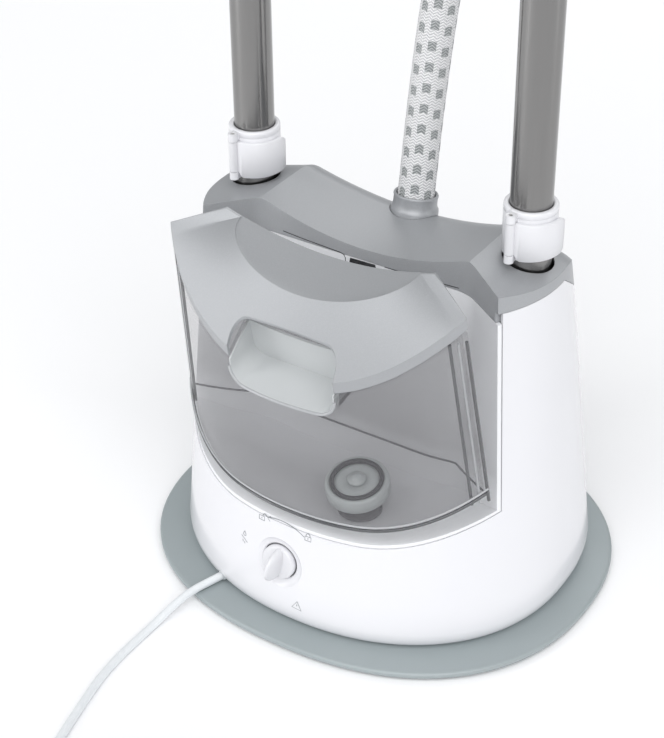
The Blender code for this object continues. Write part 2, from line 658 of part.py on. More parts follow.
def make_hanger(mast):
    """The folding garment hanger: a hub on the bridge and two arms on pins."""
    hub = box("hanger_hub", (-0.036, -0.010, 1.575), (0.036, 0.012, 1.613), "white", mast,
              bevel=0.004)
    join(hub, cylinder("hanger_post", 0.008, (0.0, 0.0, 1.5083), 0.080, None, mast))
    for side, sign in (("left", -1), ("right", 1)):
        place = (sign * 0.020, 0.0, 1.594)
        cut(hub, cylinder("hub_bore_" + side, 0.0033, (place[0], -0.002, place[2]), 0.03,
                          None, mast, axis=(0, 1, 0), steps=16))
        hinge = joint_empty("hanger_axis_" + side, place)
        hinge.parent = mast
        hinge.matrix_parent_inverse = Matrix.Translation(-mast.location)
        top = [(0.0, 0.0088), (0.045, 0.0078), (0.100, -0.003), (0.150, -0.0205), (0.178, -0.0300)]
        low = [(0.182, -0.0420), (0.150, -0.0345), (0.100, -0.0190), (0.045, -0.0075), (0.0, -0.0088)]
        round_end = [(-0.0088 * math.sin(math.radians(a)), -0.0088 * math.cos(math.radians(a)))
                     for a in (30, 60, 90, 120, 150)]
        outline = [(place[0] + sign * a, place[2] + b) for a, b in top + low + round_end]
        arm = prism("hanger_arm_" + side, outline, 0.0185, 0.0265, "white", None, axis="Y")
        arm.parent = hinge
        arm.matrix_parent_inverse = Matrix.Translation(-hinge.location)
        bore = cylinder("arm_bore_" + side, 0.0033, (place[0], 0.01, place[2]), 0.03, None, None,
                        axis=(0, 1, 0), steps=16)
        bore.parent = hinge
        bore.matrix_parent_inverse = Matrix.Translation(-hinge.location)
        cut(arm, bore)
        turned("hanger_pin_" + side,
               [(0.0, -0.0010), (0.0030, -0.0010), (0.0030, 0.0268), (0.0050, 0.0268),
                (0.0044, 0.0288), (0.0, 0.0288)],
               place, "steel", mast, turn=(0, 1, 0), steps=16)


def make_handset(mast):
    """The steam head hanging in the dock: body, hot plate, trigger and hose nut."""
    sections = ((1.2400, 0.0135, 0.0135, 0.0), (1.2440, 0.0160, 0.0165, 0.0),
                (1.3000, 0.0165, 0.0185, 0.0), (1.3700, 0.0180, 0.0205, 0.0),
                (1.4400, 0.0155, 0.0170, 0.0), (1.4780, 0.0135, 0.0135, 0.0),
                (1.4975, 0.0135, 0.0135, 0.0), (1.4985, 0.0230, 0.0200, -0.001),
                (1.5150, 0.0330, 0.0280, -0.006), (1.5400, 0.0440, 0.0350, -0.010),
                (1.5800, 0.0460, 0.0350, -0.010), (1.6100, 0.0360, 0.0300, -0.010),
                (1.6250, 0.0180, 0.0160, -0.010))
    rings = []
    for z, half_x, half_y, shift in sections:
        oval = superellipse(half_x, half_y, half_y, HANDSET_Y + shift, 2.3, 2.3, 24)
        rings.append([(x, y, z) for x, y in oval])
    body = loft("handset_body", rings, "white", mast)
    cut(body, box("face_cut", (-0.1, -0.2, 1.49), (0.1, -0.0925, 1.70), None, mast),
        box("trigger_slot", (-0.0078, -0.12, 1.3790), (0.0078, -0.0620, 1.4110), None, mast),
        box("hub_clearance", (-0.05, -0.0230, 1.50), (0.05, 0.05, 1.70), None, mast))
    plate = [(0.041 * math.copysign(abs(math.cos(a)) ** 0.8, math.cos(a)),
              1.5640 + 0.045 * math.copysign(abs(math.sin(a)) ** 0.85, math.sin(a)))
             for a in [2 * math.pi * i / 36 for i in range(36)]]
    prism("handset_soleplate", plate, -0.0992, -0.0928, "steel", mast, axis="Y")
    box("steam_trigger", (-0.0074, -0.0815, 1.3795), (0.0074, -0.0675, 1.4105), "silver", mast,
        bevel=0.002)
    turned("hose_nut", [(0.0, 1.2050), (0.0150, 1.2050), (0.0165, 1.2080), (0.0165, 1.2350),
                        (0.0150, 1.2397), (0.0, 1.2397)],
           (0.0, HANDSET_Y, 0.0), "silver", mast, steps=28)


# ---- Hose and mains cord ----
def collar_axis():
    return Vector((0.0, math.sin(COLLAR_LEAN), math.cos(COLLAR_LEAN)))


def make_hose():
    """The collar on the rear shoulder, and the cloth-covered steam hose up to the handset."""
    turned("hose_collar", [(0.0, -0.0160), (0.0157, -0.0160), (0.0157, 0.0024), (0.0146, 0.0034),
                           (0.0143, 0.0118), (0.0138, 0.0124), (0.0128, 0.0120),
                           (0.0126, -0.0120), (0.0, -0.0120)],
           COLLAR_PLACE, "silver", turn=collar_axis(), steps=24)
    start = COLLAR_PLACE - collar_axis() * (0.0120 - GAP)
    knots = [start, start + collar_axis() * 0.040, start + collar_axis() * 0.085,
             (0.0030, 0.0560, 0.380), (0.0110, 0.0660, 0.460), (0.0240, 0.0730, 0.560),
             (0.0340, 0.0700, 0.660), (0.0380, 0.0560, 0.760), (0.0340, 0.0340, 0.860),
             (0.0230, 0.0060, 0.950), (0.0110, -0.0220, 1.030), (0.0030, -0.0440, 1.100),
             (0.0, -0.0530, 1.150), (0.0, HANDSET_Y, 1.180), (0.0, HANDSET_Y, 1.2050 - GAP)]
    wire("steam_hose", smooth_route(knots, 0.036), HOSE_RADIUS, "fabric")


CORD_OUT = Vector((-0.30, -0.954, -0.06)).normalized()
CORD_START = Vector((-0.0622, -0.1088, 0.0104))
CORD_KNOTS = [(-0.0655, -0.1170, 0.0098), (-0.0692, -0.1280, 0.0096), (-0.0718, -0.1390, 0.0088),
              (-0.0742, -0.1510, 0.0062), (-0.0758, -0.1640, 0.0036), (-0.0764, -0.1800, 0.0028),
              (-0.0764, -0.1960, 0.0028), (-0.0755, -0.2120, 0.0028), (-0.0732, -0.2290, 0.0028),
              (-0.0696, -0.2456, 0.0028), (-0.0655, -0.2630, 0.0028), (-0.0613, -0.2795, 0.0028),
              (-0.0571, -0.2956, 0.0028), (-0.0534, -0.3110, 0.0028), (-0.0501, -0.3255, 0.0028),
              (-0.0470, -0.3400, 0.0028)]
PLUG_ANGLE = math.radians(250)


def make_cord():
    """The gland inside the housing, the laid-out cord, its coil and tie, and the plug."""
    turned("cord_gland", [(0.0, -0.0243), (0.0050, -0.0243), (0.0050, -0.0203),
                          (0.0042, -0.0190), (0.0036, -GAP), (0.0, -GAP)],
           CORD_START, "white", turn=CORD_OUT, steps=16)
    wire("mains_cord", smooth_route([CORD_START, *CORD_KNOTS], 0.012), CORD_RADIUS, "white")
    x, y, _ = COIL_PLACE
    rim = 0.0015
    turned("mains_cord_coil",
           [(COIL_RADIUS - COIL_HALF, rim), (COIL_RADIUS - COIL_HALF + rim, 0.0),
            (COIL_RADIUS + COIL_HALF - rim, 0.0), (COIL_RADIUS + COIL_HALF, rim),
            (COIL_RADIUS + COIL_HALF, 0.0153), (COIL_RADIUS + COIL_HALF - rim, 0.0168),
            (COIL_RADIUS - COIL_HALF + rim, 0.0168), (COIL_RADIUS - COIL_HALF, 0.0153)],
           (x, y, 0.0), "white", steps=28)
    tie_angle = math.radians(20)
    centre = Vector((x + COIL_RADIUS * math.cos(tie_angle), y + COIL_RADIUS * math.sin(tie_angle), 0.0))
    radial = Vector((math.cos(tie_angle), math.sin(tie_angle), 0.0))
    loop_outline = [centre + radial * a + Vector((0, 0, h)) for a, h in (
        (-0.0095, 0.0002), (0.0095, 0.0002), (0.0095, 0.0180), (-0.0095, 0.0180))]
    inner_outline = [centre + radial * a + Vector((0, 0, h)) for a, h in (
        (-0.0087, -0.004), (0.0087, -0.004), (0.0087, 0.0171), (-0.0087, 0.0171))]
    along = Vector((-radial.y, radial.x, 0.0))
    tie = loft("cord_tie", [[p + along * s for p in loop_outline] for s in (-0.003, 0.003)], "black")
    cut(tie, loft("tie_inner", [[p + along * s for p in inner_outline] for s in (-0.005, 0.005)]))

    away = COIL_RADIUS + COIL_HALF + CORD_RADIUS + GAP
    outward = Vector((math.cos(PLUG_ANGLE), math.sin(PLUG_ANGLE), 0.0))
    ahead = Vector((-outward.y, outward.x, 0.0))
    start = Vector((x, y, 0.0140)) + outward * away + ahead * 0.006
    turned("mains_plug", [(0.0, 0.0), (0.0036, 0.0), (0.0060, 0.022), (0.0120, 0.026),
                          (0.0137, 0.034), (0.0137, 0.046), (0.0110, 0.050), (0.0, 0.050)],
           start, "white", turn=ahead, steps=24)
    sidewise = outward * 0.0095
    for side, sign in (("left", -1), ("right", 1)):
        cylinder("plug_pin_" + side, 0.0022, start + ahead * (0.050 + GAP) + sidewise * sign, 0.019,
                 "steel", axis=ahead, steps=12)


SIDES = (("left", -POLE_X), ("right", POLE_X))


def main():
    clear_scene()
    make_base()
    make_housing()
    make_bay()
    make_cover()
    make_steam_works()
    make_switch()
    make_knob()
    make_tank()
    make_sockets_and_clamps()
    mast = joint_empty("mast_axis", (0.0, 0.0, 0.200))
    make_poles(mast)
    make_bridge(mast)
    make_hanger(mast)
    make_handset(mast)
    make_hose()
    make_cord()


main()
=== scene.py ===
"""Garment steamer: the finished surfaces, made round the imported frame. Metres, +Z up, the tank faces -Y."""

import math

import bmesh
import bpy
from mathutils import Matrix, Quaternion, Vector


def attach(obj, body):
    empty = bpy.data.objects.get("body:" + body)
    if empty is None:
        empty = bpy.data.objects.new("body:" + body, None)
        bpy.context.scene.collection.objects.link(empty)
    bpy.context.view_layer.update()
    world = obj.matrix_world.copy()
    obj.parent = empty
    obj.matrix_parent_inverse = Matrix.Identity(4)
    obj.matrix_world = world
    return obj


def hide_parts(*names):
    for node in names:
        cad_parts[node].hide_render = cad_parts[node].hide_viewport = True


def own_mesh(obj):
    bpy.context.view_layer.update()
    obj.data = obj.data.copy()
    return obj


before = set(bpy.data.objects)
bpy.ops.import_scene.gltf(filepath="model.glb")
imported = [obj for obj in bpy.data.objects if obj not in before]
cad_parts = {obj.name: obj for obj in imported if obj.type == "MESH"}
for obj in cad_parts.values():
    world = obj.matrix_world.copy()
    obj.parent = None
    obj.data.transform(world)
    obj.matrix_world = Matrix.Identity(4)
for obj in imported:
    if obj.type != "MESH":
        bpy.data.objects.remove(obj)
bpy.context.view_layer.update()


# ---- Camera, table and studio lights ----
# A long lens looks down on the front right corner.  The table is a wide matt sheet.  A very large
# soft light stands in front, with strips at the sides and a softbox behind.
def colour(code):
    """An sRGB hex code as the linear colour that shaders and lights take."""
    parts = [int(code[i:i + 2], 16) / 255 for i in (0, 2, 4)]
    linear = [p / 12.92 if p <= 0.04045 else ((p + 0.055) / 1.055) ** 2.4 for p in parts]
    return (*linear, 1.0)


def add(tree, kind, settings=None, links=None):
    """Adds a shader node, with values for its properties or sockets and the outputs that feed it."""
    node = tree.nodes.new(kind)
    for key, value in (settings or {}).items():
        if isinstance(key, int) or key in node.inputs:
            node.inputs[key].default_value = value
        else:
            setattr(node, key, value)
    for key, source in (links or {}).items():
        tree.links.new(source, node.inputs[key])
    return node


def begin_material(name, base, roughness, **sockets):
    """A new Principled material with its even values set on the shader's own sockets."""
    material = bpy.data.materials.new(name)
    material.use_nodes = True
    shader = material.node_tree.nodes["Principled BSDF"]
    shader.inputs["Base Color"].default_value = colour(base)
    shader.inputs["Roughness"].default_value = roughness
    for socket, value in sockets.items():
        shader.inputs[socket.replace("_", " ")].default_value = value
    material.diffuse_color = colour(base)
    return material, material.node_tree, shader


def view_turn(azimuth, elevation, roll=0.0):
    """The way that a camera or a lamp looks, down at the middle from that azimuth and elevation."""
    a, e = math.radians(azimuth), math.radians(elevation)
    back = Vector((math.sin(a) * math.cos(e), -math.cos(a) * math.cos(e), math.sin(e)))
    turn = (-back).to_track_quat("-Z", "Y") @ Quaternion((0, 0, 1), math.radians(roll))
    return back, turn


lens = bpy.data.cameras.new("studio_camera")
lens.lens = 87.617
lens.clip_start = 0.05
camera = bpy.data.objects.new("studio_camera", lens)
camera.location = (0.51598, -0.84706, 0.80393)
camera.rotation_mode = "QUATERNION"
camera.rotation_quaternion = view_turn(33.397, 33.816, -0.617)[1]
bpy.context.scene.collection.objects.link(camera)
bpy.context.scene.camera = camera
bpy.context.scene.view_settings.view_transform = "Standard"

TABLE_HALF = 4.0
table_mesh = bpy.data.meshes.new("table_top")
table_mesh.from_pydata(
    [(x, y, 0.0) for x, y in ((-TABLE_HALF, -TABLE_HALF), (TABLE_HALF, -TABLE_HALF),
                              (TABLE_HALF, TABLE_HALF), (-TABLE_HALF, TABLE_HALF))],
    [], [(0, 1, 2, 3)])
table_top = bpy.data.objects.new("table_top", table_mesh)
bpy.context.scene.collection.objects.link(table_top)
# Matt white paper: plain and pale, with no gloss.
table_paint, tree, shader = begin_material("table_paper_matt", "FBFBFC", 0.8)
table_mesh.materials.append(table_paint)

LAMPS = (
    ("left_strip", -40, 22, 1.7, 0.5, 1.8, 7.0),
    ("right_strip", 104, 18, 1.9, 0.35, 1.8, 3.5),
    ("rear_softbox", 195, 34, 2.2, 1.4, 1.0, 5.0),
)
for name, azimuth, elevation, distance, width, height, power in LAMPS:
    lamp = bpy.data.lights.new(name, "AREA")
    lamp.shape, lamp.size, lamp.size_y, lamp.energy = "RECTANGLE", width, height, power
    softbox = bpy.data.objects.new(name, lamp)
    softbox.rotation_mode = "QUATERNION"
    back, softbox.rotation_quaternion = view_turn(azimuth, elevation)
    softbox.location = Vector((0.0, 0.0, 0.2)) + back * distance
    bpy.context.scene.collection.objects.link(softbox)

front_lamp = bpy.data.lights.new("front_light", "SUN")
front_lamp.energy = 2.1
front_lamp.angle = math.radians(70)
front_light = bpy.data.objects.new("front_light", front_lamp)
front_light.rotation_mode = "QUATERNION"
front_light.rotation_quaternion = view_turn(32, 48)[1]
bpy.context.scene.collection.objects.link(front_light)

studio = bpy.data.worlds.new("studio_air")
studio.use_nodes = True
studio.node_tree.nodes["Background"].inputs["Color"].default_value = colour("F4F6F8")
studio.node_tree.nodes["Background"].inputs["Strength"].default_value = 0.44
bpy.context.scene.world = studio


# ---- Mains cord ----
# White PVC sheath, 5.6 mm across, extruded over three cores.  It leaves the housing low at the
# front left, drops to the table and ends in a coil of seven turns, three layers deep.
CORD_RADIUS = 0.0028
CORD_EXIT = Vector((-0.0622, -0.1088, 0.0104))
CORD_LAID = [
    (-0.0655, -0.1170, 0.0098), (-0.0692, -0.1280, 0.0096), (-0.0718, -0.1390, 0.0088),
    (-0.0742, -0.1510, 0.0062), (-0.0758, -0.1640, 0.0036), (-0.0764, -0.1800, 0.0028),
    (-0.0764, -0.1960, 0.0028), (-0.0755, -0.2120, 0.0028), (-0.0732, -0.2290, 0.0028),
    (-0.0696, -0.2456, 0.0028), (-0.0655, -0.2630, 0.0028), (-0.0613, -0.2795, 0.0028),
    (-0.0571, -0.2956, 0.0028), (-0.0534, -0.3110, 0.0028), (-0.0501, -0.3255, 0.0028),
]
COIL_CENTRE = Vector((-0.006, -0.3294, 0.0))
COIL_COLUMNS = {"joining": 0.0424, "outer": 0.0364, "middle": 0.0308, "inner": 0.0252}
COIL_LAYERS = (0.0028, 0.0084, 0.0140, 0.0197)
COIL_START = math.radians(194.4)
PLUG_TURN = math.radians(250)
# At which turn the cord reaches which column and layer: it steps over in a tenth of a turn.
COIL_STEPS = [
    (0.00, "joining", 0), (0.10, "outer", 0), (1.00, "outer", 0), (1.10, "middle", 0),
    (2.00, "middle", 0), (2.10, "inner", 0), (2.87, "inner", 0), (2.98, "inner", 1),
    (3.75, "inner", 1), (3.86, "middle", 1), (4.75, "middle", 1), (4.86, "outer", 1),
    (5.63, "outer", 1), (5.74, "outer", 2), (5.76, "outer", 2), (5.86, "middle", 2),
    (6.76, "middle", 2), (6.86, "inner", 2), (6.94, "inner", 2), (7.03, "middle", 3),
    (7.09, "outer", 3), (7.154, "joining", 2),
]


def smooth_route(knots, spacing):
    """Evenly spaced points on a smooth curve through the knots."""
    knots = [Vector(knot) for knot in knots]
    ends = [2 * knots[0] - knots[1]] + knots + [2 * knots[-1] - knots[-2]]
    dense = []
    for a, b, c, d in zip(ends, ends[1:], ends[2:], ends[3:]):
        for step in range(16):
            t = step / 16
            dense.append(0.5 * (2 * b + (c - a) * t + (2 * a - 5 * b + 4 * c - d) * t ** 2
                                + (3 * b - a - 3 * c + d) * t ** 3))
    dense.append(knots[-1])
    count = max(2, round(route_length(dense) / spacing))
    target = route_length(dense) / count
    picked, walked = [dense[0]], 0.0
    for a, b in zip(dense, dense[1:]):
        step = (b - a).length
        while walked + step >= target * len(picked) and len(picked) < count:
            picked.append(a.lerp(b, (target * len(picked) - walked) / step))
        walked += step
    return picked + [dense[-1]]


def route_length(points):
    return sum((b - a).length for a, b in zip(points, points[1:]))


def ease(share):
    """From 0 to 1 with a gentle start and end."""
    share = max(0.0, min(1.0, share))
    return share * share * (3 - 2 * share)


def coil_point(turns):
    """Where the cord lies after that many turns of the coil."""
    for (begin, column, layer), (end, next_column, next_layer) in zip(COIL_STEPS, COIL_STEPS[1:]):
        if turns <= end:
            break
    share = ease((turns - begin) / (end - begin))
    radius = COIL_COLUMNS[column] + (COIL_COLUMNS[next_column] - COIL_COLUMNS[column]) * share
    height = COIL_LAYERS[layer] + (COIL_LAYERS[next_layer] - COIL_LAYERS[layer]) * share
    angle = COIL_START + 2 * math.pi * turns
    return COIL_CENTRE + Vector((radius * math.cos(angle), radius * math.sin(angle), height))


POINTS_PER_TURN = 30
last_turn = COIL_STEPS[-1][0]
coil = [coil_point(last_turn * i / round(last_turn * POINTS_PER_TURN))
        for i in range(round(last_turn * POINTS_PER_TURN) + 1)]
plug_ahead = Vector((-math.sin(PLUG_TURN), math.cos(PLUG_TURN), 0.0))
plug_start = coil[-1] + plug_ahead * 0.006
cord_route = smooth_route([CORD_EXIT, *CORD_LAID, coil[0]], 0.005)[:-1] + coil + [plug_start]

cord_line = bpy.data.curves.new("mains_lead", "CURVE")
cord_line.dimensions = "3D"
cord_line.bevel_depth = CORD_RADIUS
cord_line.bevel_resolution = 5
cord_line.use_fill_caps = True
spline = cord_line.splines.new("POLY")
spline.points.add(len(cord_route) - 1)
for point, place in zip(spline.points, cord_route):
    point.co = (*place, 1.0)
spline.use_smooth = True
mains_lead = bpy.data.objects.new("mains_lead", cord_line)
bpy.context.scene.collection.objects.link(mains_lead)

# Extruded PVC: a soft satin skin with a faint waviness along it, 4 mm from crest to crest.
cord_pvc, tree, shader = begin_material("cord_pvc_extruded", "E9ECEE", 0.38, IOR=1.52)
where = add(tree, "ShaderNodeTexCoord").outputs["Object"]
waves = add(tree, "ShaderNodeTexNoise", {"Scale": 1 / 0.004, "Detail": 2.0}, {"Vector": where})
tint = add(tree, "ShaderNodeMix", {"data_type": "RGBA", 6: colour("E9ECEE"), 7: colour("DDE1E4")},
           {0: waves.outputs["Fac"]})
bump = add(tree, "ShaderNodeBump", {"Strength": 0.25, "Distance": 0.0002},
           {"Height": waves.outputs["Fac"]})
tree.links.new(tint.outputs[2], shader.inputs["Base Color"])
tree.links.new(bump.outputs["Normal"], shader.inputs["Normal"])
cord_line.materials.append(cord_pvc)


# ---- Mains plug ----
# A moulded two-pin plug in the same white PVC: a tapered sleeve with flex grooves, a ribbed grip
# and two round pins of nickel-plated brass.
def solid(name, shape, sharp=32):
    """A mesh object from bmesh data, shaded smooth apart from edges over the sharp angle."""
    bmesh.ops.recalc_face_normals(shape, faces=shape.faces)
    mesh = bpy.data.meshes.new(name)
    shape.to_mesh(mesh)
    shape.free()
    mesh.shade_smooth()
    mesh.set_sharp_from_angle(angle=math.radians(sharp))
    obj = bpy.data.objects.new(name, mesh)
    bpy.context.scene.collection.objects.link(obj)
    return obj


def turned(name, profile, place=(0, 0, 0), axis=(0, 0, 1), steps=72, sharp=32):
    """A profile of (radius, height) points spun round an axis through place."""
    shape = bmesh.new()
    corners = [shape.verts.new((radius, 0.0, height)) for radius, height in profile]
    edges = [shape.edges.new(pair) for pair in zip(corners, corners[1:])]
    if profile[0][0] > 0.0:
        edges.append(shape.edges.new((corners[-1], corners[0])))
    bmesh.ops.spin(shape, geom=corners + edges, axis=(0, 0, 1), cent=(0, 0, 0), dvec=(0, 0, 0),
                   angle=2 * math.pi, steps=steps, use_merge=True, use_duplicate=False)
    bmesh.ops.remove_doubles(shape, verts=shape.verts, dist=1e-6)
    turn = Vector(axis).to_track_quat("Z", "Y").to_matrix().to_4x4()
    bmesh.ops.transform(shape, matrix=Matrix.Translation(place) @ turn, verts=shape.verts)
    return solid(name, shape, sharp)


def fit(obj, material, body, slot, *nodes):
    """Gives a piece its material and its body, and hides the CAD nodes that it stands for; its slot is not
    used.
    """
    if not obj.data.materials:
        obj.data.materials.append(material)
    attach(obj, body)
    if nodes:
        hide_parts(*nodes)
    return obj


plug_profile = [(0.0, 0.0), (0.0036, 0.0)]
for groove in range(5):
    radius = 0.0040 + 0.0005 * groove
    height = 0.0020 + 0.0038 * groove
    plug_profile += [(radius, height), (radius, height + 0.0022),
                     (radius - 0.0008, height + 0.0026), (radius - 0.0008, height + 0.0034)]
plug_profile += [(0.0064, 0.0215), (0.0090, 0.0235), (0.0120, 0.0262), (0.0130, 0.0300),
                 (0.0134, 0.0340), (0.0137, 0.0400), (0.0136, 0.0460), (0.0130, 0.0485),
                 (0.0114, 0.0498), (0.0100, 0.0500), (0.0, 0.0500)]
plug = turned("plug_body", plug_profile, plug_start, plug_ahead, steps=64, sharp=50)
fit(plug, cord_pvc, "root", "cord_pvc", "mains_plug")

# Nickel plate: bright and nearly smooth, with draw marks 0.3 mm apart.
nickel, tree, shader = begin_material("nickel_plate_polished", "C9C7C2", 0.18, Metallic=1.0)
where = add(tree, "ShaderNodeTexCoord").outputs["Object"]
marks = add(tree, "ShaderNodeTexNoise", {"Scale": 1 / 0.0003, "Detail": 3.0}, {"Vector": where})
spread = add(tree, "ShaderNodeMapRange", {"To Min": 0.12, "To Max": 0.28},
             {"Value": marks.outputs["Fac"]})
tree.links.new(spread.outputs["Result"], shader.inputs["Roughness"])
plug_outward = Vector((math.cos(PLUG_TURN), math.sin(PLUG_TURN), 0.0))
for side, sign in (("left", -1), ("right", 1)):
    foot = plug_start + plug_ahead * 0.0503 + plug_outward * 0.0095 * sign
    pin = turned("blade_" + side, [(0.0, 0.0), (0.0022, 0.0), (0.0022, 0.0170), (0.0019, 0.0182),
                                   (0.0011, 0.0189), (0.0, 0.0190)], foot, plug_ahead, steps=24)
    fit(pin, nickel, "root", "bright_steel", "plug_pin_" + side)

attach(mains_lead, "root")
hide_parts("mains_cord", "mains_cord_coil")


# ---- Steam hose ----
# A silicone hose inside a braided polyester sleeve, 24 mm across: a herringbone of white yarn
# with eight lengthwise rows of grey dashes.  It rises from the rear shoulder to the handset.
HOSE_RADIUS = 0.0120
COLLAR_PLACE = Vector((0.0, 0.034, 0.2435))
COLLAR_LEAN = math.radians(10)
collar_axis = Vector((0.0, math.sin(COLLAR_LEAN), math.cos(COLLAR_LEAN)))
HANDSET_Y = -0.055
hose_start = COLLAR_PLACE - collar_axis * 0.0117
HOSE_KNOTS = [
    hose_start, hose_start + collar_axis * 0.040, hose_start + collar_axis * 0.085,
    (0.0030, 0.0560, 0.380), (0.0110, 0.0660, 0.460), (0.0240, 0.0730, 0.560),
    (0.0340, 0.0700, 0.660), (0.0380, 0.0560, 0.760), (0.0340, 0.0340, 0.860),
    (0.0230, 0.0060, 0.950), (0.0110, -0.0220, 1.030), (0.0030, -0.0440, 1.100),
    (0.0, -0.0530, 1.150), (0.0, HANDSET_Y, 1.180), (0.0, HANDSET_Y, 1.2047),
]


def swept(name, route, radius, sides=48):
    """A round tube along a route, with its UVs in millimetres round it and along it."""
    shape = bmesh.new()
    uv = shape.loops.layers.uv.new("sleeve")
    tangents = [(b - a).normalized() for a, b in zip(route, route[1:])]
    tangents = [tangents[0]] + [(a + b).normalized() for a, b in zip(tangents, tangents[1:])] \
        + [tangents[-1]]
    side = tangents[0].cross(Vector((0, 1, 0))).normalized()
    rows, along, walked = [], [], 0.0
    for i, (place, tangent) in enumerate(zip(route, tangents)):
        side = (side - tangent * side.dot(tangent)).normalized()
        up = tangent.cross(side)
        walked += (place - route[i - 1]).length if i else 0.0
        along.append(1000 * walked)
        rows.append([shape.verts.new(place + radius * (side * math.cos(a) + up * math.sin(a)))
                     for a in [2 * math.pi * k / sides for k in range(sides)]])
    around = 1000 * 2 * math.pi * radius / sides
    for i, (low, high) in enumerate(zip(rows, rows[1:])):
        for k in range(sides):
            j = (k + 1) % sides
            face = shape.faces.new((low[k], low[j], high[j], high[k]))
            corners = ((k, i), (k + 1, i), (k + 1, i + 1), (k, i + 1))
            for loop, (column, row) in zip(face.loops, corners):
                loop[uv].uv = (column * around, along[row])
    shape.faces.new(rows[0][::-1])
    shape.faces.new(rows[-1])
    return solid(name, shape, 60)


hose_route = smooth_route(HOSE_KNOTS, 0.008)
hose = swept("steam_hose_sleeve", hose_route, HOSE_RADIUS - 0.0001)

YARN = 1.9
CHEVRON = 4.7
ROW_PITCH = 1000 * 2 * math.pi * (HOSE_RADIUS - 0.0001) / 8
DASH_PITCH = 13.5
# Braided polyester: yarns 1.9 mm apart in a herringbone 4.7 mm wide, dull with a little sheen. The troughs
# between the yarns are painted darker grey as shade.
hose_braid, tree, shader = begin_material("hose_braid_polyester", "E4E4E6", 0.82,
                                          Sheen_Weight=0.25, Sheen_Roughness=0.5)
uv_map = add(tree, "ShaderNodeUVMap", {"uv_map": "sleeve"})
split = add(tree, "ShaderNodeSeparateXYZ", {}, {"Vector": uv_map.outputs["UV"]})
around, along = split.outputs["X"], split.outputs["Y"]


def sum_of(operation, first, second):
    """A maths node on two values, each an output or a number."""
    settings = {"operation": operation}
    links = {}
    for key, value in ((0, first), (1, second)):
        (links if hasattr(value, "node") else settings)[key] = value
    return add(tree, "ShaderNodeMath", settings, links).outputs[0]


zigzag = sum_of("PINGPONG", around, CHEVRON / 2)
slant = sum_of("ADD", along, sum_of("MULTIPLY", zigzag, 0.7))
yarns = sum_of("SINE", sum_of("MULTIPLY", slant, 2 * math.pi / YARN), 0.0)
row = sum_of("FLOOR", sum_of("DIVIDE", around, ROW_PITCH), 0.0)
stagger = sum_of("MULTIPLY", sum_of("MODULO", row, 2.0), 0.27 * DASH_PITCH)
dash_place = sum_of("FRACT", sum_of("DIVIDE", sum_of("ADD", sum_of("ADD", along, stagger),
                                                     sum_of("MULTIPLY", zigzag, 0.25)),
                                    DASH_PITCH), 0.0)
in_dash = sum_of("LESS_THAN", dash_place, 0.44)
in_row = sum_of("LESS_THAN", sum_of("ABSOLUTE", sum_of(
    "SUBTRACT", sum_of("FRACT", sum_of("DIVIDE", around, ROW_PITCH), 0.0), 0.5), 0.0), 0.29)
dark_yarn = sum_of("MULTIPLY", sum_of("MULTIPLY", in_dash, in_row),
                   sum_of("GREATER_THAN", yarns, -0.55))
ridge = sum_of("MULTIPLY", sum_of("ABSOLUTE", sum_of("SUBTRACT", zigzag, CHEVRON / 4), 0.0), 0.5)
height = sum_of("ADD", yarns, ridge)
# Painted shade: the troughs between the yarns turn from white to darker grey.
yarn_trough_shade = add(tree, "ShaderNodeMapRange", {"From Min": -1.0, "From Max": -0.2}, {"Value": yarns})
white = add(tree, "ShaderNodeMix", {"data_type": "RGBA", 6: colour("B9BABD"), 7: colour("F0F0F1")},
            {0: yarn_trough_shade.outputs["Result"]})
dyed = add(tree, "ShaderNodeMix", {"data_type": "RGBA", 7: colour("8E9393")},
           {0: dark_yarn, 6: white.outputs[2]})
bump = add(tree, "ShaderNodeBump", {"Strength": 0.6, "Distance": 0.0004}, {"Height": height})
tree.links.new(dyed.outputs[2], shader.inputs["Base Color"])
tree.links.new(bump.outputs["Normal"], shader.inputs["Normal"])
fit(hose, hose_braid, "root", "hose_cloth", "steam_hose")
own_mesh(hose)


# ---- Base plate and pad ----
# A weighted oval plate, moulded in satin grey-green ABS over a steel slab, with a rounded bright
# rim.  A sheet of black rubber under it keeps it off the floor.
def oval(half_x, front, rear, middle, front_power, rear_power, count=180):
    """A superellipse whose front and rear halves bow by different amounts about middle."""
    points = []
    for i in range(count):
        c, s = math.cos(2 * math.pi * i / count), math.sin(2 * math.pi * i / count)
        power, half_y = (rear_power, rear) if s > 0 else (front_power, front)
        points.append((half_x * math.copysign(abs(c) ** (2 / power), c),
                       middle + half_y * math.copysign(abs(s) ** (2 / power), s)))
    return points


def loft(name, rings, sharp=32):
    """A closed solid through rings of equally many points."""
    shape = bmesh.new()
    rows = [[shape.verts.new(point) for point in ring] for ring in rings]
    for low, high in zip(rows, rows[1:]):
        for i in range(len(low)):
            j = (i + 1) % len(low)
            shape.faces.new((low[i], low[j], high[j], high[i]))
    shape.faces.new(rows[0][::-1])
    shape.faces.new(rows[-1])
    bmesh.ops.triangulate(shape, faces=[f for f in shape.faces if len(f.verts) > 4])
    return solid(name, shape, sharp)


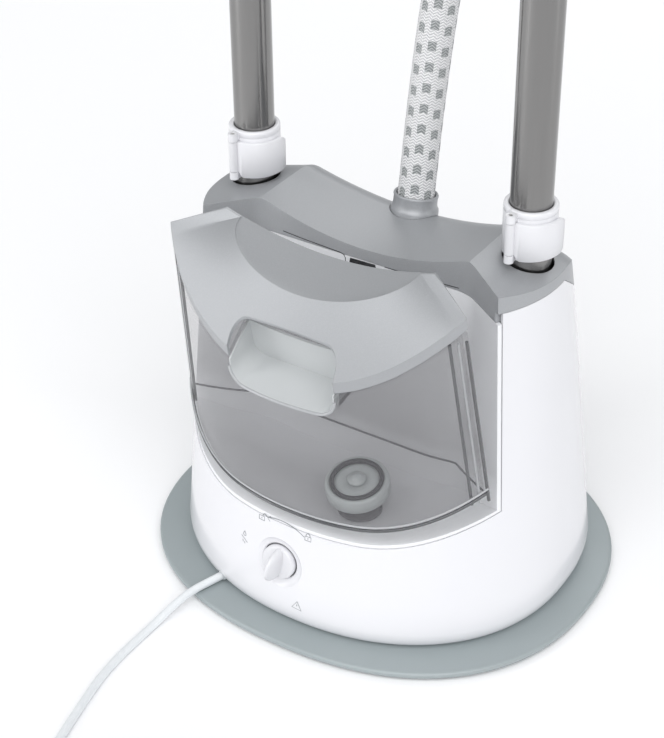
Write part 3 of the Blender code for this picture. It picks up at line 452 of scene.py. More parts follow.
def moulded(name, base, shade, roughness, grain, depth, edge=0.0, **sockets):
    """Injection-moulded plastic: faint flow marks 70 mm long and an orange peel of the given grain."""
    material, tree, shader = begin_material(name, base, roughness, **sockets)
    where = add(tree, "ShaderNodeTexCoord").outputs["Object"]
    flow = add(tree, "ShaderNodeTexNoise", {"Scale": 1 / 0.070, "Detail": 3.0}, {"Vector": where})
    tint = add(tree, "ShaderNodeMix", {"data_type": "RGBA", 6: colour(base), 7: colour(shade)},
               {0: flow.outputs["Fac"]})
    polish = add(tree, "ShaderNodeMapRange", {"To Min": 0.85 * roughness, "To Max": 1.2 * roughness},
                 {"Value": flow.outputs["Fac"]})
    peel = add(tree, "ShaderNodeTexNoise", {"Scale": 1 / grain, "Detail": 2.0}, {"Vector": where})
    bump = add(tree, "ShaderNodeBump", {"Strength": 0.3, "Distance": depth},
               {"Height": peel.outputs["Fac"]})
    if edge:
        rounded = add(tree, "ShaderNodeBevel", {"samples": 4, "Radius": edge})
        tree.links.new(rounded.outputs["Normal"], bump.inputs["Normal"])
    tree.links.new(tint.outputs[2], shader.inputs["Base Color"])
    tree.links.new(polish.outputs["Result"], shader.inputs["Roughness"])
    tree.links.new(bump.outputs["Normal"], shader.inputs["Normal"])
    return material


PLATE_HALF_X, PLATE_HALF_Y, PLATE_POWER = 0.1587, 0.1388, 2.27
plate_rings = []
for z, inset in ((0.0020, 0.0022), (0.0021, 0.0012), (0.0025, 0.0004), (0.0031, 0.0), (0.0050, 0.0),
                 (0.0056, 0.0003), (0.0061, 0.0010), (0.0064, 0.0020), (0.0065, 0.0034)):
    half_y = PLATE_HALF_Y - inset
    ring = oval(PLATE_HALF_X - inset, half_y, half_y, 0.0, PLATE_POWER, PLATE_POWER)
    plate_rings.append([(x, y, z) for x, y in ring])
plate = loft("plate_casting", plate_rings, 60)
plate_abs = moulded("grey_abs_moulded", "A2AAAC", "9BA4A6", 0.42, 0.0012, 0.00004, Metallic=0.15)
fit(plate, plate_abs, "root", "grey_plate", "base_plate")

pad_ring = oval(0.136, 0.118, 0.118, 0.0, 2.2, 2.2)
pad = loft("pad_sheet", [[(x, y, z) for x, y in pad_ring] for z in (0.0, 0.0017)])
pad_rubber = moulded("pad_rubber_moulded", "2A2A2C", "222224", 0.85, 0.0008, 0.0002)
fit(pad, pad_rubber, "root", "pad_rubber", "anti_slip_pad")


# ---- Housing ----
# The lower casing: one injection moulding in white ABS with a high-gloss skin, narrowing upwards,
# open at the front for the tank.  It has a dished seat for the drain knob and a cord hole.
WIDE_Z, TOP_Z = 0.0200, 0.2530
SEAM_Z, REAR_SEAM_Z = 0.2445, 0.1780
SHELL_WALL = 0.0030
BAY_REAR_X, BAY_REAR_Y, BAY_SLOPE = 0.0755, -0.0284, 0.68
LINER_WALL = 0.0025
GAP = 0.0003
BODY_HEIGHTS = [0.0068, 0.0072, 0.0080, 0.0092, 0.0110, 0.0135, 0.0165, 0.0200, 0.040, 0.060,
                0.080, 0.100, 0.120, 0.140, 0.160, 0.180, 0.200, 0.215, 0.230, 0.245, 0.260, 0.275]
UPPER_HEIGHTS = [z for z in BODY_HEIGHTS if z >= 0.080]


def mix(a, b, share):
    return a + (b - a) * share


def body_ring(z, inset=0.0):
    """The casing's outline at one height, rounded under near its foot."""
    rise = max(z, WIDE_Z)
    share = (rise - WIDE_Z) / (TOP_Z - WIDE_Z)
    if z < WIDE_Z:
        drop = min(1.0, (WIDE_Z - z) / 0.0134)
        inset += 0.008 * (1 - math.sqrt(1 - drop * drop))
    middle = mix(0.002, -0.002, share)
    front = middle - mix(-0.1215, -0.0980, share) - inset
    rear = 0.131 - 0.2 * rise - 0.009 * (rise / 0.25) ** 6 - middle - inset
    half_x = mix(0.1395, 0.1220, share) - inset
    ring = oval(half_x, front, rear, middle, mix(2.15, 2.05, share), 2.3)
    return [(x, y, z) for x, y in ring]


def front_y(x, z, inset=0.0):
    """How far forward the casing's skin lies at x and z."""
    share = (z - WIDE_Z) / (TOP_Z - WIDE_Z)
    middle = mix(0.002, -0.002, share)
    half_x = mix(0.1395, 0.1220, share) - inset
    half_y = middle - mix(-0.1215, -0.0980, share) - inset
    power = mix(2.15, 2.05, share)
    return middle - half_y * (1 - min(1.0, abs(x) / half_x) ** power) ** (1 / power)


def prism(name, outline, low, high, axis="Z"):
    """An outline pushed along an axis from low to high."""
    places = {"X": lambda a, b, h: (h, a, b), "Y": lambda a, b, h: (a, h, b),
              "Z": lambda a, b, h: (a, b, h)}
    return loft(name, [[places[axis](a, b, h) for a, b in outline] for h in (low, high)])


def block(name, low, high):
    shape = bmesh.new()
    low, high = Vector(low), Vector(high)
    matrix = Matrix.Translation((low + high) / 2) @ Matrix.Diagonal((*(high - low), 1.0))
    bmesh.ops.create_cube(shape, size=1.0, matrix=matrix)
    return solid(name, shape)


def carve(piece, *steps, sharp=32):
    """Applies Booleans, each an (operation, tool), in order, and removes the tools."""
    for operation, tool in steps:
        boolean = piece.modifiers.new(tool.name, "BOOLEAN")
        boolean.operation = operation
        boolean.object = tool
    bpy.context.view_layer.update()
    result = piece.evaluated_get(bpy.context.evaluated_depsgraph_get())
    mesh = bpy.data.meshes.new_from_object(result)
    piece.modifiers.clear()
    piece.data = mesh
    for _, tool in steps:
        bpy.data.objects.remove(tool)
    mesh.shade_smooth()
    mesh.set_sharp_from_angle(angle=math.radians(sharp))
    return piece


def bay_plan(name, outset, low, high):
    """The tank bay seen from above: a rear wall, rounded corners and sides that slant forward."""
    reach, corner = 0.55 * outset, []
    for step in range(17):
        blend, fall = 0.009 * (1 - step / 16) ** 2, 0.009 * (step / 16) ** 2
        corner.append((BAY_REAR_X + reach - blend + fall * 0.83,
                       BAY_REAR_Y + outset - fall * 0.83 * BAY_SLOPE))
    side_x = 0.17
    side_y = BAY_REAR_Y + outset - BAY_SLOPE * (side_x - BAY_REAR_X - reach)
    right = corner + [(side_x, side_y), (side_x, -0.24)]
    return prism(name, right + [(-x, y) for x, y in reversed(right)], low, high)


def ledge(name, lift):
    """The block under the bay: its top edge rises towards the sides."""
    xs = [0.17 * i / 34 for i in range(-34, 35)]
    rise = [min(0.0125 * (max(0.0, abs(x) - 0.045) / 0.055) ** 2, 0.060) for x in xs]
    outline = [(x, 0.086 + up + lift) for x, up in zip(xs, rise)] + [(0.17, 0.03), (-0.17, 0.03)]
    return prism(name, outline, -0.26, 0.06, "Y")


def seam(name, lift, above):
    """All that lies above, or below, the joint line between housing and cover."""
    line = [(-0.26, SEAM_Z), (0.006, SEAM_Z), (0.100, REAR_SEAM_Z), (0.18, REAR_SEAM_Z)]
    far = 0.40 if above else -0.05
    outline = [(y, z + lift) for y, z in line] + [(0.18, far), (-0.26, far)]
    return prism(name, outline, -0.2, 0.2, "X")


KNOB_PLACE = Vector((-0.008, -0.1182, 0.053))
FRONT_SLOPE = math.radians(5.8)
knob_out = Vector((0.0, -math.cos(FRONT_SLOPE), math.sin(FRONT_SLOPE)))
cord_out = Vector((-0.30, -0.954, -0.06)).normalized()
KNOB_SEAT = [(0.0126, -0.020), (0.0126, -0.0030), (0.0134, -0.0022), (0.0160, -0.0018),
             (0.0178, -0.0006), (0.0192, 0.0008), (0.0210, 0.0020), (0.0210, 0.020), (0.0, 0.020),
             (0.0, -0.020)]

housing = loft("housing_shell", [body_ring(z) for z in BODY_HEIGHTS])
hollow = [[(x, y, z) for x, y, _ in body_ring(WIDE_Z, inset)]
          for z, inset in ((-0.01, 0.0110), (0.009, 0.0110), (0.022, 0.0034))]
hollow += [body_ring(z, SHELL_WALL) for z in UPPER_HEIGHTS]
bay_cut = carve(bay_plan("bay_cut", LINER_WALL + GAP, 0.04, 0.30),
                ("DIFFERENCE", ledge("bay_cut_floor", -LINER_WALL - GAP)))
carve(housing, ("DIFFERENCE", loft("housing_hollow", hollow)),
      ("DIFFERENCE", seam("housing_seam", -GAP, True)), ("DIFFERENCE", bay_cut),
      ("DIFFERENCE", turned("cord_hole", [(0.0, 0.0), (0.0046, 0.0), (0.0046, 0.035), (0.0, 0.035)],
                            (-0.0560, -0.0890, 0.0116), cord_out, steps=32)),
      ("DIFFERENCE", turned("knob_seat", KNOB_SEAT[::-1], KNOB_PLACE, knob_out, steps=64)),
      ("DIFFERENCE", block("rocker_hole", (-0.0125, 0.09, 0.050), (0.0125, 0.14, 0.074))))
white_abs = moulded("white_abs_high_gloss", "E8E8EB", "E4E4E8", 0.20, 0.0020, 0.00002, 0.0005,
                    IOR=1.53, Coat_Weight=0.25, Coat_Roughness=0.08)
fit(housing, white_abs, "root", "white", "housing")


# ---- Printed marks ----
# Pad-printed line symbols in grey ink on the front of the housing: an open and a closed padlock
# joined by an arrow for the drain knob, a struck-out drop and a plain triangle.
INK_WIDTH = 0.00042
INK_LIFT = 0.00012


def printed(name, strokes, width=INK_WIDTH):
    """Thin ink lines on the front skin, each stroke a list of (x, z) points."""
    shape = bmesh.new()
    for stroke in strokes:
        points = [Vector(p) for p in stroke]
        rows = []
        for i, point in enumerate(points):
            ahead = (points[min(i + 1, len(points) - 1)] - points[max(i - 1, 0)]).normalized()
            across = Vector((-ahead.y, ahead.x)) * width / 2
            rows.append([])
            for corner, lift in ((point + across, INK_LIFT), (point - across, INK_LIFT),
                                 (point - across, -INK_LIFT), (point + across, -INK_LIFT)):
                y = front_y(corner.x, corner.y) - lift
                rows[-1].append(shape.verts.new((corner.x, y, corner.y)))
        for low, high in zip(rows, rows[1:]):
            for i in range(4):
                j = (i + 1) % 4
                shape.faces.new((low[i], low[j], high[j], high[i]))
        shape.faces.new(rows[0][::-1])
        shape.faces.new(rows[-1])
    return solid(name, shape)


def arc(x, z, radius, start, end, steps=14):
    angles = [math.radians(mix(start, end, i / steps)) for i in range(steps + 1)]
    return [(x + radius * math.cos(a), z + radius * math.sin(a)) for a in angles]


def padlock(x, z, opened):
    """A padlock 4.4 mm wide: body, shackle and keyhole."""
    body = [(x - 0.0022, z - 0.0021), (x + 0.0022, z - 0.0021), (x + 0.0022, z + 0.0010),
            (x - 0.0022, z + 0.0010), (x - 0.0022, z - 0.0023)]
    shift = 0.0024 if opened else 0.0
    shackle = [(x - 0.0014 + shift, z + 0.0010)] + arc(x + shift, z + 0.0019, 0.0014, 180, 0, 8)
    if not opened:
        shackle.append((x + 0.0014, z + 0.0010))
    return [body, shackle, [(x, z - 0.0011), (x, z)]]


knob_x, knob_z = KNOB_PLACE.x, KNOB_PLACE.z
sweep = arc(knob_x + 0.0015, knob_z + 0.0020, 0.0305, 112, 55)
tip = Vector(sweep[0])
head = [[tip + Vector((0.0026, 0.0016)), tip, tip + Vector((0.0022, -0.0022))]]
drop = [[(-0.0371 + a * 0.0013, 0.0612 + b) for a, b in
         ((0.0, 0.0022), (-0.8, 0.0004), (-0.9, -0.0008), (0.0, -0.0016), (0.9, -0.0008),
          (0.8, 0.0004), (0.0, 0.0022))]]
strike = [[(-0.0400, 0.0590), (-0.0345, 0.0556)], [(-0.0388, 0.0560), (-0.0383, 0.0545)],
          [(-0.0372, 0.0552), (-0.0367, 0.0537)]]
TRIANGLE = [(0.0079, 0.0285), (0.0112, 0.0223), (0.0040, 0.0231), (0.0079, 0.0285)]
ink = moulded("grey_ink_printed", "8F9296", "85888C", 0.55, 0.0006, 0.00002)
for name, strokes in (
        ("print_open_lock", padlock(-0.0225, 0.0815, True)),
        ("print_arrow", [sweep] + head),
        ("print_closed_lock", padlock(0.0137, 0.0802, False)),
        ("print_drop", drop + strike),
        ("print_triangle", [TRIANGLE, [(0.0077, 0.0262), (0.0077, 0.0248)]])):
    fit(printed(name, strokes), ink, "root", "white")


# ---- Tank bay liner ----
# A tray moulded in pale grey ABS with a polished skin: it lines the bay behind and under the
# tank, with a black EPDM seat over the pump's inlet.
LINER_TOP = 0.2370
VALVE_X, VALVE_Y = 0.030, -0.079
liner = loft("liner_tray", [body_ring(z, 0.0006) for z in
                            (0.070, 0.085, 0.100, 0.120, 0.140, 0.160, 0.180, 0.200, 0.220, LINER_TOP)])
liner_hollow = carve(bay_plan("liner_hollow", 0.0, 0.05, 0.30),
                     ("DIFFERENCE", ledge("liner_floor", 0.0)))
carve(liner, ("INTERSECT", bay_plan("liner_outer", LINER_WALL, 0.05, 0.30)),
      ("DIFFERENCE", ledge("liner_under", -LINER_WALL)), ("DIFFERENCE", liner_hollow),
      ("DIFFERENCE", turned("seat_hole", [(0.0, 0.07), (0.0093, 0.07), (0.0093, 0.10), (0.0, 0.10)],
                            (VALVE_X, VALVE_Y, 0.0))))
liner_abs = moulded("liner_abs_polished", "F0F1F3", "EAEBEE", 0.16, 0.0030, 0.00002, 0.0006,
                    IOR=1.53, Coat_Weight=0.3, Coat_Roughness=0.05)
fit(liner, liner_abs, "root", "bay_liner", "tank_bay")

seat = turned("seat_ring", [(0.0040, 0.0700), (0.0090, 0.0700), (0.0090, 0.0873), (0.0140, 0.0873),
                            (0.0145, 0.0876), (0.0145, 0.0883), (0.0141, 0.0886), (0.0120, 0.0886),
                            (0.0100, 0.0880), (0.0085, 0.0886), (0.0070, 0.0886), (0.0040, 0.0840)],
              (VALVE_X, VALVE_Y, 0.0))
black_polymer = moulded("black_polymer_matt", "26272A", "1F2022", 0.48, 0.0009, 0.00005)
fit(seat, black_polymer, "root", "black_plastic", "inlet_seat")


# ---- Top cover ----
# The saddle-shaped lid over the boiler: ABS sprayed with a satin silver lacquer, whose fine
# aluminium flake sparkles softly.  A crease runs along both sides, and a skirt hangs in the bay.
SADDLE_Z, SADDLE_RISE, CREASE_X = 0.2453, 2.63, 0.0760
ROLL_RADIUS, ROLL_SLOPE = 0.0280, 1.1
COVER_WALL = 0.0025
POLE_X = 0.100


def saddle_z(x):
    """The cover's top dips in the middle, rises to a crease and falls off towards the sides."""
    if abs(x) < CREASE_X:
        return SADDLE_Z + SADDLE_RISE * x * x
    return SADDLE_Z + SADDLE_RISE * CREASE_X ** 2 - 0.17 * (abs(x) - CREASE_X)


def cover_top_z(x, y):
    """The saddle, rolling off at the rear into a shoulder of steady slope."""
    past = max(0.0, y - (0.024 - 0.011 * (x / 0.095) ** 2))
    bend = min(past, ROLL_SLOPE * ROLL_RADIUS)
    return saddle_z(x) - bend * bend / (2 * ROLL_RADIUS) - ROLL_SLOPE * (past - bend)


def sky(name, drop):
    """A block whose underside is the cover's top, lowered by drop."""
    half = [0.160, 0.110] + [CREASE_X * i / 12 for i in range(12, 0, -1)]
    xs = [-x for x in half] + [0.0] + half[::-1]
    ys = [-0.24, 0.008] + [0.010 + 0.0027 * i for i in range(19)] + [0.12]
    rings = []
    for y in ys:
        low = [(x, y, cover_top_z(x, y) - drop) for x in xs]
        rings.append(low + [(0.16, y, 0.36), (-0.16, y, 0.36)])
    return loft(name, rings)


cover = loft("cover_shell", [body_ring(z) for z in UPPER_HEIGHTS])
tongue = loft("cover_tongue", [body_ring(z, SHELL_WALL + 2 * GAP) for z in UPPER_HEIGHTS])
carve(tongue, ("DIFFERENCE", seam("tongue_seam", LINER_TOP + GAP - SEAM_Z, False)))
cover_hollow = carve(loft("cover_hollow", [body_ring(z, 0.0062) for z in UPPER_HEIGHTS]),
                     ("DIFFERENCE", sky("cover_under", COVER_WALL)),
                     ("DIFFERENCE", bay_plan("cover_skirt", COVER_WALL, 0.07, 0.30)))
holes = [turned("pole_hole_%d" % i, [(0.0, 0.20), (0.0160, 0.20), (0.0160, 0.28), (0.0, 0.28)],
                (x, 0.0, 0.0), steps=64) for i, x in enumerate((-POLE_X, POLE_X))]
hose_hole = turned("hose_hole", [(0.0, -0.03), (0.0161, -0.03), (0.0161, 0.03), (0.0, 0.03)],
                   COLLAR_PLACE, collar_axis, steps=64)
carve(cover, ("DIFFERENCE", seam("cover_seam", 0.0, False)), ("UNION", tongue),
      ("DIFFERENCE", cover_hollow),
      ("DIFFERENCE", sky("cover_top", 0.0)),
      ("DIFFERENCE", bay_plan("cover_bay", 0.0, 0.07, 0.30)),
      *[("DIFFERENCE", hole) for hole in holes + [hose_hole]], sharp=14)
bpy.context.view_layer.update()

# Silver lacquer: flakes drawn 0.5 mm apart, coarser than real ones so that they show at all.
silver, tree, shader = begin_material("silver_lacquer_satin", "A6A8AB", 0.42, Metallic=0.35,
                                      Coat_Weight=0.15, Coat_Roughness=0.3)
where = add(tree, "ShaderNodeTexCoord").outputs["Object"]
flakes = add(tree, "ShaderNodeTexVoronoi", {"Scale": 1 / 0.0005}, {"Vector": where})
shade = add(tree, "ShaderNodeMix", {"data_type": "RGBA", 6: colour("A2A4A7"), 7: colour("AEB0B3")},
            {0: flakes.outputs["Distance"]})
spread = add(tree, "ShaderNodeMapRange", {"To Min": 0.34, "To Max": 0.50},
             {"Value": flakes.outputs["Distance"]})
rounded = add(tree, "ShaderNodeBevel", {"samples": 4, "Radius": 0.0006})
bump = add(tree, "ShaderNodeBump", {"Strength": 0.12, "Distance": 0.00003},
           {"Height": flakes.outputs["Distance"], "Normal": rounded.outputs["Normal"]})
tree.links.new(shade.outputs[2], shader.inputs["Base Color"])
tree.links.new(spread.outputs["Result"], shader.inputs["Roughness"])
tree.links.new(bump.outputs["Normal"], shader.inputs["Normal"])
fit(cover, silver, "root", "silver", "top_cover")

# The joint between liner and skirt carries a small latch window in the middle and, left of it,
# the thin outline of a snap-in panel.
GROOVE = 0.0005
groove_z, groove_y = 0.2372, BAY_REAR_Y - 0.0001
panel = [(-0.0600, 0.2402), (-0.0470, 0.2392), (-0.0300, 0.2384), (-0.0165, 0.2378),
         (-0.0140, 0.2370), (-0.0128, 0.2350), (-0.0126, 0.2290)]
joint_line = [(x / 1000, groove_z + 0.0000004 * x * x) for x in range(16, 75, 6)]
for name, stroke in (("panel_groove", panel), ("skirt_groove", joint_line)):
    shape = bmesh.new()
    rows = []
    for i, point in enumerate(stroke):
        before, after = Vector(stroke[max(i - 1, 0)]), Vector(stroke[min(i + 1, len(stroke) - 1)])
        ahead = (after - before).normalized()
        across = Vector((-ahead.y, ahead.x)) * GROOVE / 2
        rows.append([shape.verts.new((point[0] + side * across.x, y, point[1] + side * across.y))
                     for side, y in ((1, groove_y), (-1, groove_y), (-1, groove_y + 0.0008),
                                     (1, groove_y + 0.0008))])
    for low, high in zip(rows, rows[1:]):
        for i in range(4):
            j = (i + 1) % 4
            shape.faces.new((low[i], low[j], high[j], high[i]))
    shape.faces.new(rows[0][::-1])
    shape.faces.new(rows[-1])
    fit(solid(name, shape), black_polymer, "root", "black_plastic")
latch = loft("latch_window", [[(x, y, z) for x, z in
                               ((-0.0100, 0.2322), (0.0100, 0.2330), (0.0092, 0.2368), (-0.0092, 0.2362))]
                              for y in (groove_y, groove_y + 0.0010)])
fit(latch, black_polymer, "root", "black_plastic")


# ---- Boiler, pump and controls ----
# Inside the housing: a die-cast aluminium boiler with its heater rod, a plastic pump, silicone
# pipes, a thermostat, a brass drain valve and a control board.  They are seen only when it is open.
cast_aluminium, tree, shader = begin_material("aluminium_die_cast", "C3C4C2", 0.5, Metallic=1.0)
where = add(tree, "ShaderNodeTexCoord").outputs["Object"]
pores = add(tree, "ShaderNodeTexNoise", {"Scale": 1 / 0.0015, "Detail": 5.0}, {"Vector": where})
bump = add(tree, "ShaderNodeBump", {"Strength": 0.5, "Distance": 0.0002},
           {"Height": pores.outputs["Fac"]})
tree.links.new(bump.outputs["Normal"], shader.inputs["Normal"])
turned_brass, tree, shader = begin_material("brass_turned", "C9A45C", 0.3, Metallic=1.0)
where = add(tree, "ShaderNodeTexCoord").outputs["Object"]
rings = add(tree, "ShaderNodeTexWave", {"Scale": 1 / 0.0012, "bands_direction": "Y"},
            {"Vector": where})
bump = add(tree, "ShaderNodeBump", {"Strength": 0.3, "Distance": 0.0001},
           {"Height": rings.outputs["Fac"]})
tree.links.new(bump.outputs["Normal"], shader.inputs["Normal"])
silicone = moulded("silicone_extruded", "DAD9D4", "D0CFCA", 0.55, 0.0015, 0.00005)
laminate = moulded("laminate_green_masked", "1E5A36", "184A2C", 0.4, 0.0010, 0.00003)
INSIDE = {"boiler": cast_aluminium, "heater_element": nickel, "thermostat": black_polymer,
          "water_pump": black_polymer, "pump_inlet_pipe": silicone, "boiler_feed_pipe": silicone,
          "steam_pipe": silicone, "drain_valve": turned_brass, "control_board": laminate,
          "cord_gland": cord_pvc, "cord_tie": black_polymer}
for node, material in INSIDE.items():
    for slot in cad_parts[node].material_slots:
        slot.material = material


# ---- Mains rocker ----
# A black moulded rocker in the rear wall, 23 mm wide, dished so that a finger finds each end.
def rounded_block(name, low, high, radius, segments=4):
    """A block with rounded edges."""
    piece = block(name, low, high)
    edge = piece.modifiers.new("edges", "BEVEL")
    edge.width, edge.segments = radius, segments
    return carve(piece, sharp=50)


rocker = rounded_block("rocker_cap", (-0.0115, 0.1085, 0.0522), (0.0115, 0.1215, 0.0718), 0.0012)
dish = turned("rocker_dish", [(0.0, -0.02), (0.030, -0.02), (0.030, 0.02), (0.0, 0.02)],
              (0.0, 0.1500, 0.062), (1, 0, 0), steps=96)
carve(rocker, ("DIFFERENCE", dish))
rocker.data.transform(Matrix.Translation((0, 0.112, 0.062)) @ Matrix.Rotation(math.radians(-7), 4, "X")
                      @ Matrix.Translation((0, -0.112, -0.062)))
fit(rocker, black_polymer, "rocker", "black_plastic", "power_rocker")


# ---- Drain knob ----
# A white ABS disc with a tall blade grip across it, leaning to the left.  It turns the brass
# drain valve behind the wall from locked to open.
knob = turned("knob_disc", [(0.0, -0.0150), (0.0040, -0.0150), (0.0040, -0.0045), (0.0112, -0.0045),
                            (0.0120, -0.0038), (0.0120, 0.0002), (0.0117, 0.0008), (0.0110, 0.0011),
                            (0.0, 0.0012)], KNOB_PLACE, knob_out, steps=96)
grip_shape = bmesh.new()
bmesh.ops.create_uvsphere(grip_shape, u_segments=64, v_segments=40, radius=1.0)
for vert in grip_shape.verts:
    x, y, z = vert.co
    waist = 0.0036 + 0.0014 * y * y
    vert.co = (x * waist, y * 0.0118 * (1.0 + 0.06 * z), z * 0.0148)
lean = Matrix.Translation(KNOB_PLACE + knob_out * 0.0006) \
    @ knob_out.to_track_quat("Z", "Y").to_matrix().to_4x4() \
    @ Matrix.Rotation(math.radians(-8), 4, "Z")
bmesh.ops.transform(grip_shape, matrix=lean, verts=grip_shape.verts)
grip = solid("knob_grip", grip_shape, 60)
below = turned("knob_below", [(0.0, -0.03), (0.03, -0.03), (0.03, 0.0), (0.0, 0.0)],
               KNOB_PLACE, knob_out)
carve(grip, ("DIFFERENCE", below))
carve(knob, ("UNION", grip), sharp=50)
knob_abs = moulded("white_abs_satin", "E3E3E6", "DEDEE2", 0.34, 0.0012, 0.00003, 0.0006, IOR=1.53)
fit(knob, knob_abs, "knob", "white", "drain_knob")


# ---- Socket tubes, clamps and levers ----
# Each pole stands in a steel socket.  On its top sits a white moulded split collar, and a curved
# lever plate hinged on a steel pin pulls the collar tight round the pole.
POLE_RADIUS = 0.0130
SOCKET_RADIUS, SOCKET_TOP = 0.0143, 0.2755
CLAMP_LOW, CLAMP_TOP = 0.2620, 0.2945
HINGE_X, HINGE_Y = -0.0030, -0.0200
KNUCKLE_LOW, KNUCKLE_HIGH = 0.2673, 0.2887
SIDES = (("left", -POLE_X), ("right", POLE_X))

# Centreless-ground stainless tube: the wheel left fine lines round it, which draw its reflections
# out along the tube, and the belt after it left streaks 40 mm long.
pole_steel, tree, shader = begin_material("stainless_tube_ground", "8B8A89", 0.25, Metallic=1.0,
                                          Anisotropic=0.8, Anisotropic_Rotation=0.25)
where = add(tree, "ShaderNodeTexCoord").outputs["Object"]
stretched = add(tree, "ShaderNodeMapping", {"Scale": (1 / 0.00025, 1 / 0.00025, 1 / 0.040)},
                {"Vector": where})
lines = add(tree, "ShaderNodeTexNoise", {"Scale": 1.0, "Detail": 3.0},
            {"Vector": stretched.outputs["Vector"]})
spread = add(tree, "ShaderNodeMapRange", {"To Min": 0.14, "To Max": 0.24},
             {"Value": lines.outputs["Fac"]})
shade = add(tree, "ShaderNodeMix", {"data_type": "RGBA", 6: colour("838281"), 7: colour("939291")},
            {0: lines.outputs["Fac"]})
bump = add(tree, "ShaderNodeBump", {"Strength": 0.15, "Distance": 0.00005},
           {"Height": lines.outputs["Fac"]})
tree.links.new(shade.outputs[2], shader.inputs["Base Color"])
tree.links.new(spread.outputs["Result"], shader.inputs["Roughness"])
tree.links.new(bump.outputs["Normal"], shader.inputs["Normal"])


def tube(name, inner, outer, low, high, x, rim=0.0004):
    """A tube on a vertical axis, with its end edges broken."""
    return turned(name, [(inner, low), (outer - rim, low), (outer, low + rim), (outer, high - rim),
                         (outer - rim, high), (inner, high)], (x, 0.0, 0.0), steps=96)


def lever_plate(name, x):
    """The curved lever: a plate round the collar whose free end has round corners and stands off."""
    begin, end, count, corner = math.radians(-94), math.radians(20), 48, 0.0065
    shape = bmesh.new()
    rows = []
    for step in range(count + 1):
        share = step / count
        angle = mix(begin, end, share)
        from_end = (1 - share) * (end - begin) * 0.0190
        bite = corner - math.sqrt(max(0.0, corner ** 2 - max(0.0, corner - from_end) ** 2))
        low = mix(0.2676, 0.2632, ease(share / 0.12)) + 0.0018 * share + 0.75 * bite
        high = 0.2884 - bite
        inner = 0.0171 + 0.0006 * share ** 4
        outer = 0.0195 + 0.0014 * share ** 2 - 0.0006 * ease((share - 0.95) / 0.05)
        section = ((inner, low + 0.0003), (inner + 0.0003, low), (outer - 0.0006, low),
                   (outer, low + 0.0006), (outer, high - 0.0006), (outer - 0.0006, high),
                   (inner + 0.0003, high), (inner, high - 0.0003))
        rows.append([shape.verts.new((x + r * math.cos(angle), r * math.sin(angle), z))
                     for r, z in section])
    for low_row, high_row in zip(rows, rows[1:]):
        for i in range(8):
            j = (i + 1) % 8
            shape.faces.new((low_row[i], low_row[j], high_row[j], high_row[i]))
    shape.faces.new(rows[0][::-1])
    shape.faces.new(rows[-1])
    return solid(name, shape, 50)


def peg(name, radius, x, y, low, high, steps=32):
    """A plain pin or bore on a vertical axis."""
    return turned(name, [(0.0, low), (radius, low), (radius, high), (0.0, high)], (x, y, 0.0),
                  steps=steps)


for side, x in SIDES:
    socket = tube("socket_" + side, POLE_RADIUS + GAP, SOCKET_RADIUS, 0.010, SOCKET_TOP, x)
    fit(socket, pole_steel, "root", "pole_steel", "socket_tube_" + side)
    grip_radius, shell = POLE_RADIUS + GAP, SOCKET_RADIUS + GAP
    collar = turned("collar_" + side,
                    [(shell, CLAMP_LOW), (0.0160, CLAMP_LOW), (0.0166, CLAMP_LOW + 0.0006),
                     (0.0166, 0.2895), (0.0163, 0.2899), (0.0163, 0.2905), (0.0166, 0.2909),
                     (0.0166, CLAMP_TOP - 0.0012), (0.0163, CLAMP_TOP - 0.0004),
                     (0.0157, CLAMP_TOP), (grip_radius + 0.0004, CLAMP_TOP),
                     (grip_radius, CLAMP_TOP - 0.0004), (grip_radius, SOCKET_TOP + GAP),
                     (shell, SOCKET_TOP + GAP)], (x, 0.0, 0.0), steps=96, sharp=50)
    hinge_x = x + HINGE_X
    bosses = []
    for low, high in ((CLAMP_LOW, KNUCKLE_LOW), (KNUCKLE_HIGH, CLAMP_TOP - 0.0004)):
        bosses += [("UNION", peg("boss", 0.0030, hinge_x, HINGE_Y, low, high)),
                   ("UNION", block("web", (hinge_x - 0.0026, HINGE_Y, low + 0.0001),
                                   (hinge_x + 0.0026, -0.0150, high - 0.0002)))]
    slot_cut = block("adjuster_slot", (x - 0.0095, -0.0172, 0.2906), (x - 0.0052, -0.0143, 0.2960))
    carve(collar, *bosses, ("DIFFERENCE", peg("bore", 0.0014, hinge_x, HINGE_Y, 0.25, 0.31)),
          ("DIFFERENCE", slot_cut), sharp=50)
    fit(collar, white_abs, "root", "white", "clamp_collar_" + side)
    clamp_pin = peg("hinge_pin_" + side, 0.0011, hinge_x, HINGE_Y, CLAMP_LOW + 0.0004,
                    CLAMP_TOP - 0.0008, 24)
    fit(clamp_pin, nickel, "root", "bright_steel", "clamp_pin_" + side)
    lever = lever_plate("lever_" + side, x)
    carve(lever, ("UNION", peg("barrel", 0.0029, hinge_x, HINGE_Y, 0.2676, 0.2884)),
          ("DIFFERENCE", peg("barrel_bore", 0.0014, hinge_x, HINGE_Y, 0.25, 0.31)), sharp=50)
    fit(lever, knob_abs, "lever_" + side, "white", "clamp_lever_" + side)


# ---- Hose collar ----
# A silver-lacquered cup on the rear shoulder, with a rolled rim round the hose.
hose_cup = turned("hose_cup", [(0.0, -0.0160), (0.0157, -0.0160), (0.0157, 0.0012),
                               (0.0156, 0.0024), (0.0150, 0.0032), (0.0146, 0.0042), (0.0143, 0.0058),
                               (0.0143, 0.0098), (0.0146, 0.0108), (0.0146, 0.0116), (0.0142, 0.0123),
                               (0.0136, 0.0124), (0.0129, 0.0120), (0.0126, 0.0110),
                               (0.0126, -0.0120), (0.0, -0.0120)],
                  COLLAR_PLACE, collar_axis, steps=120, sharp=60)
fit(hose_cup, silver, "root", "silver", "hose_collar")


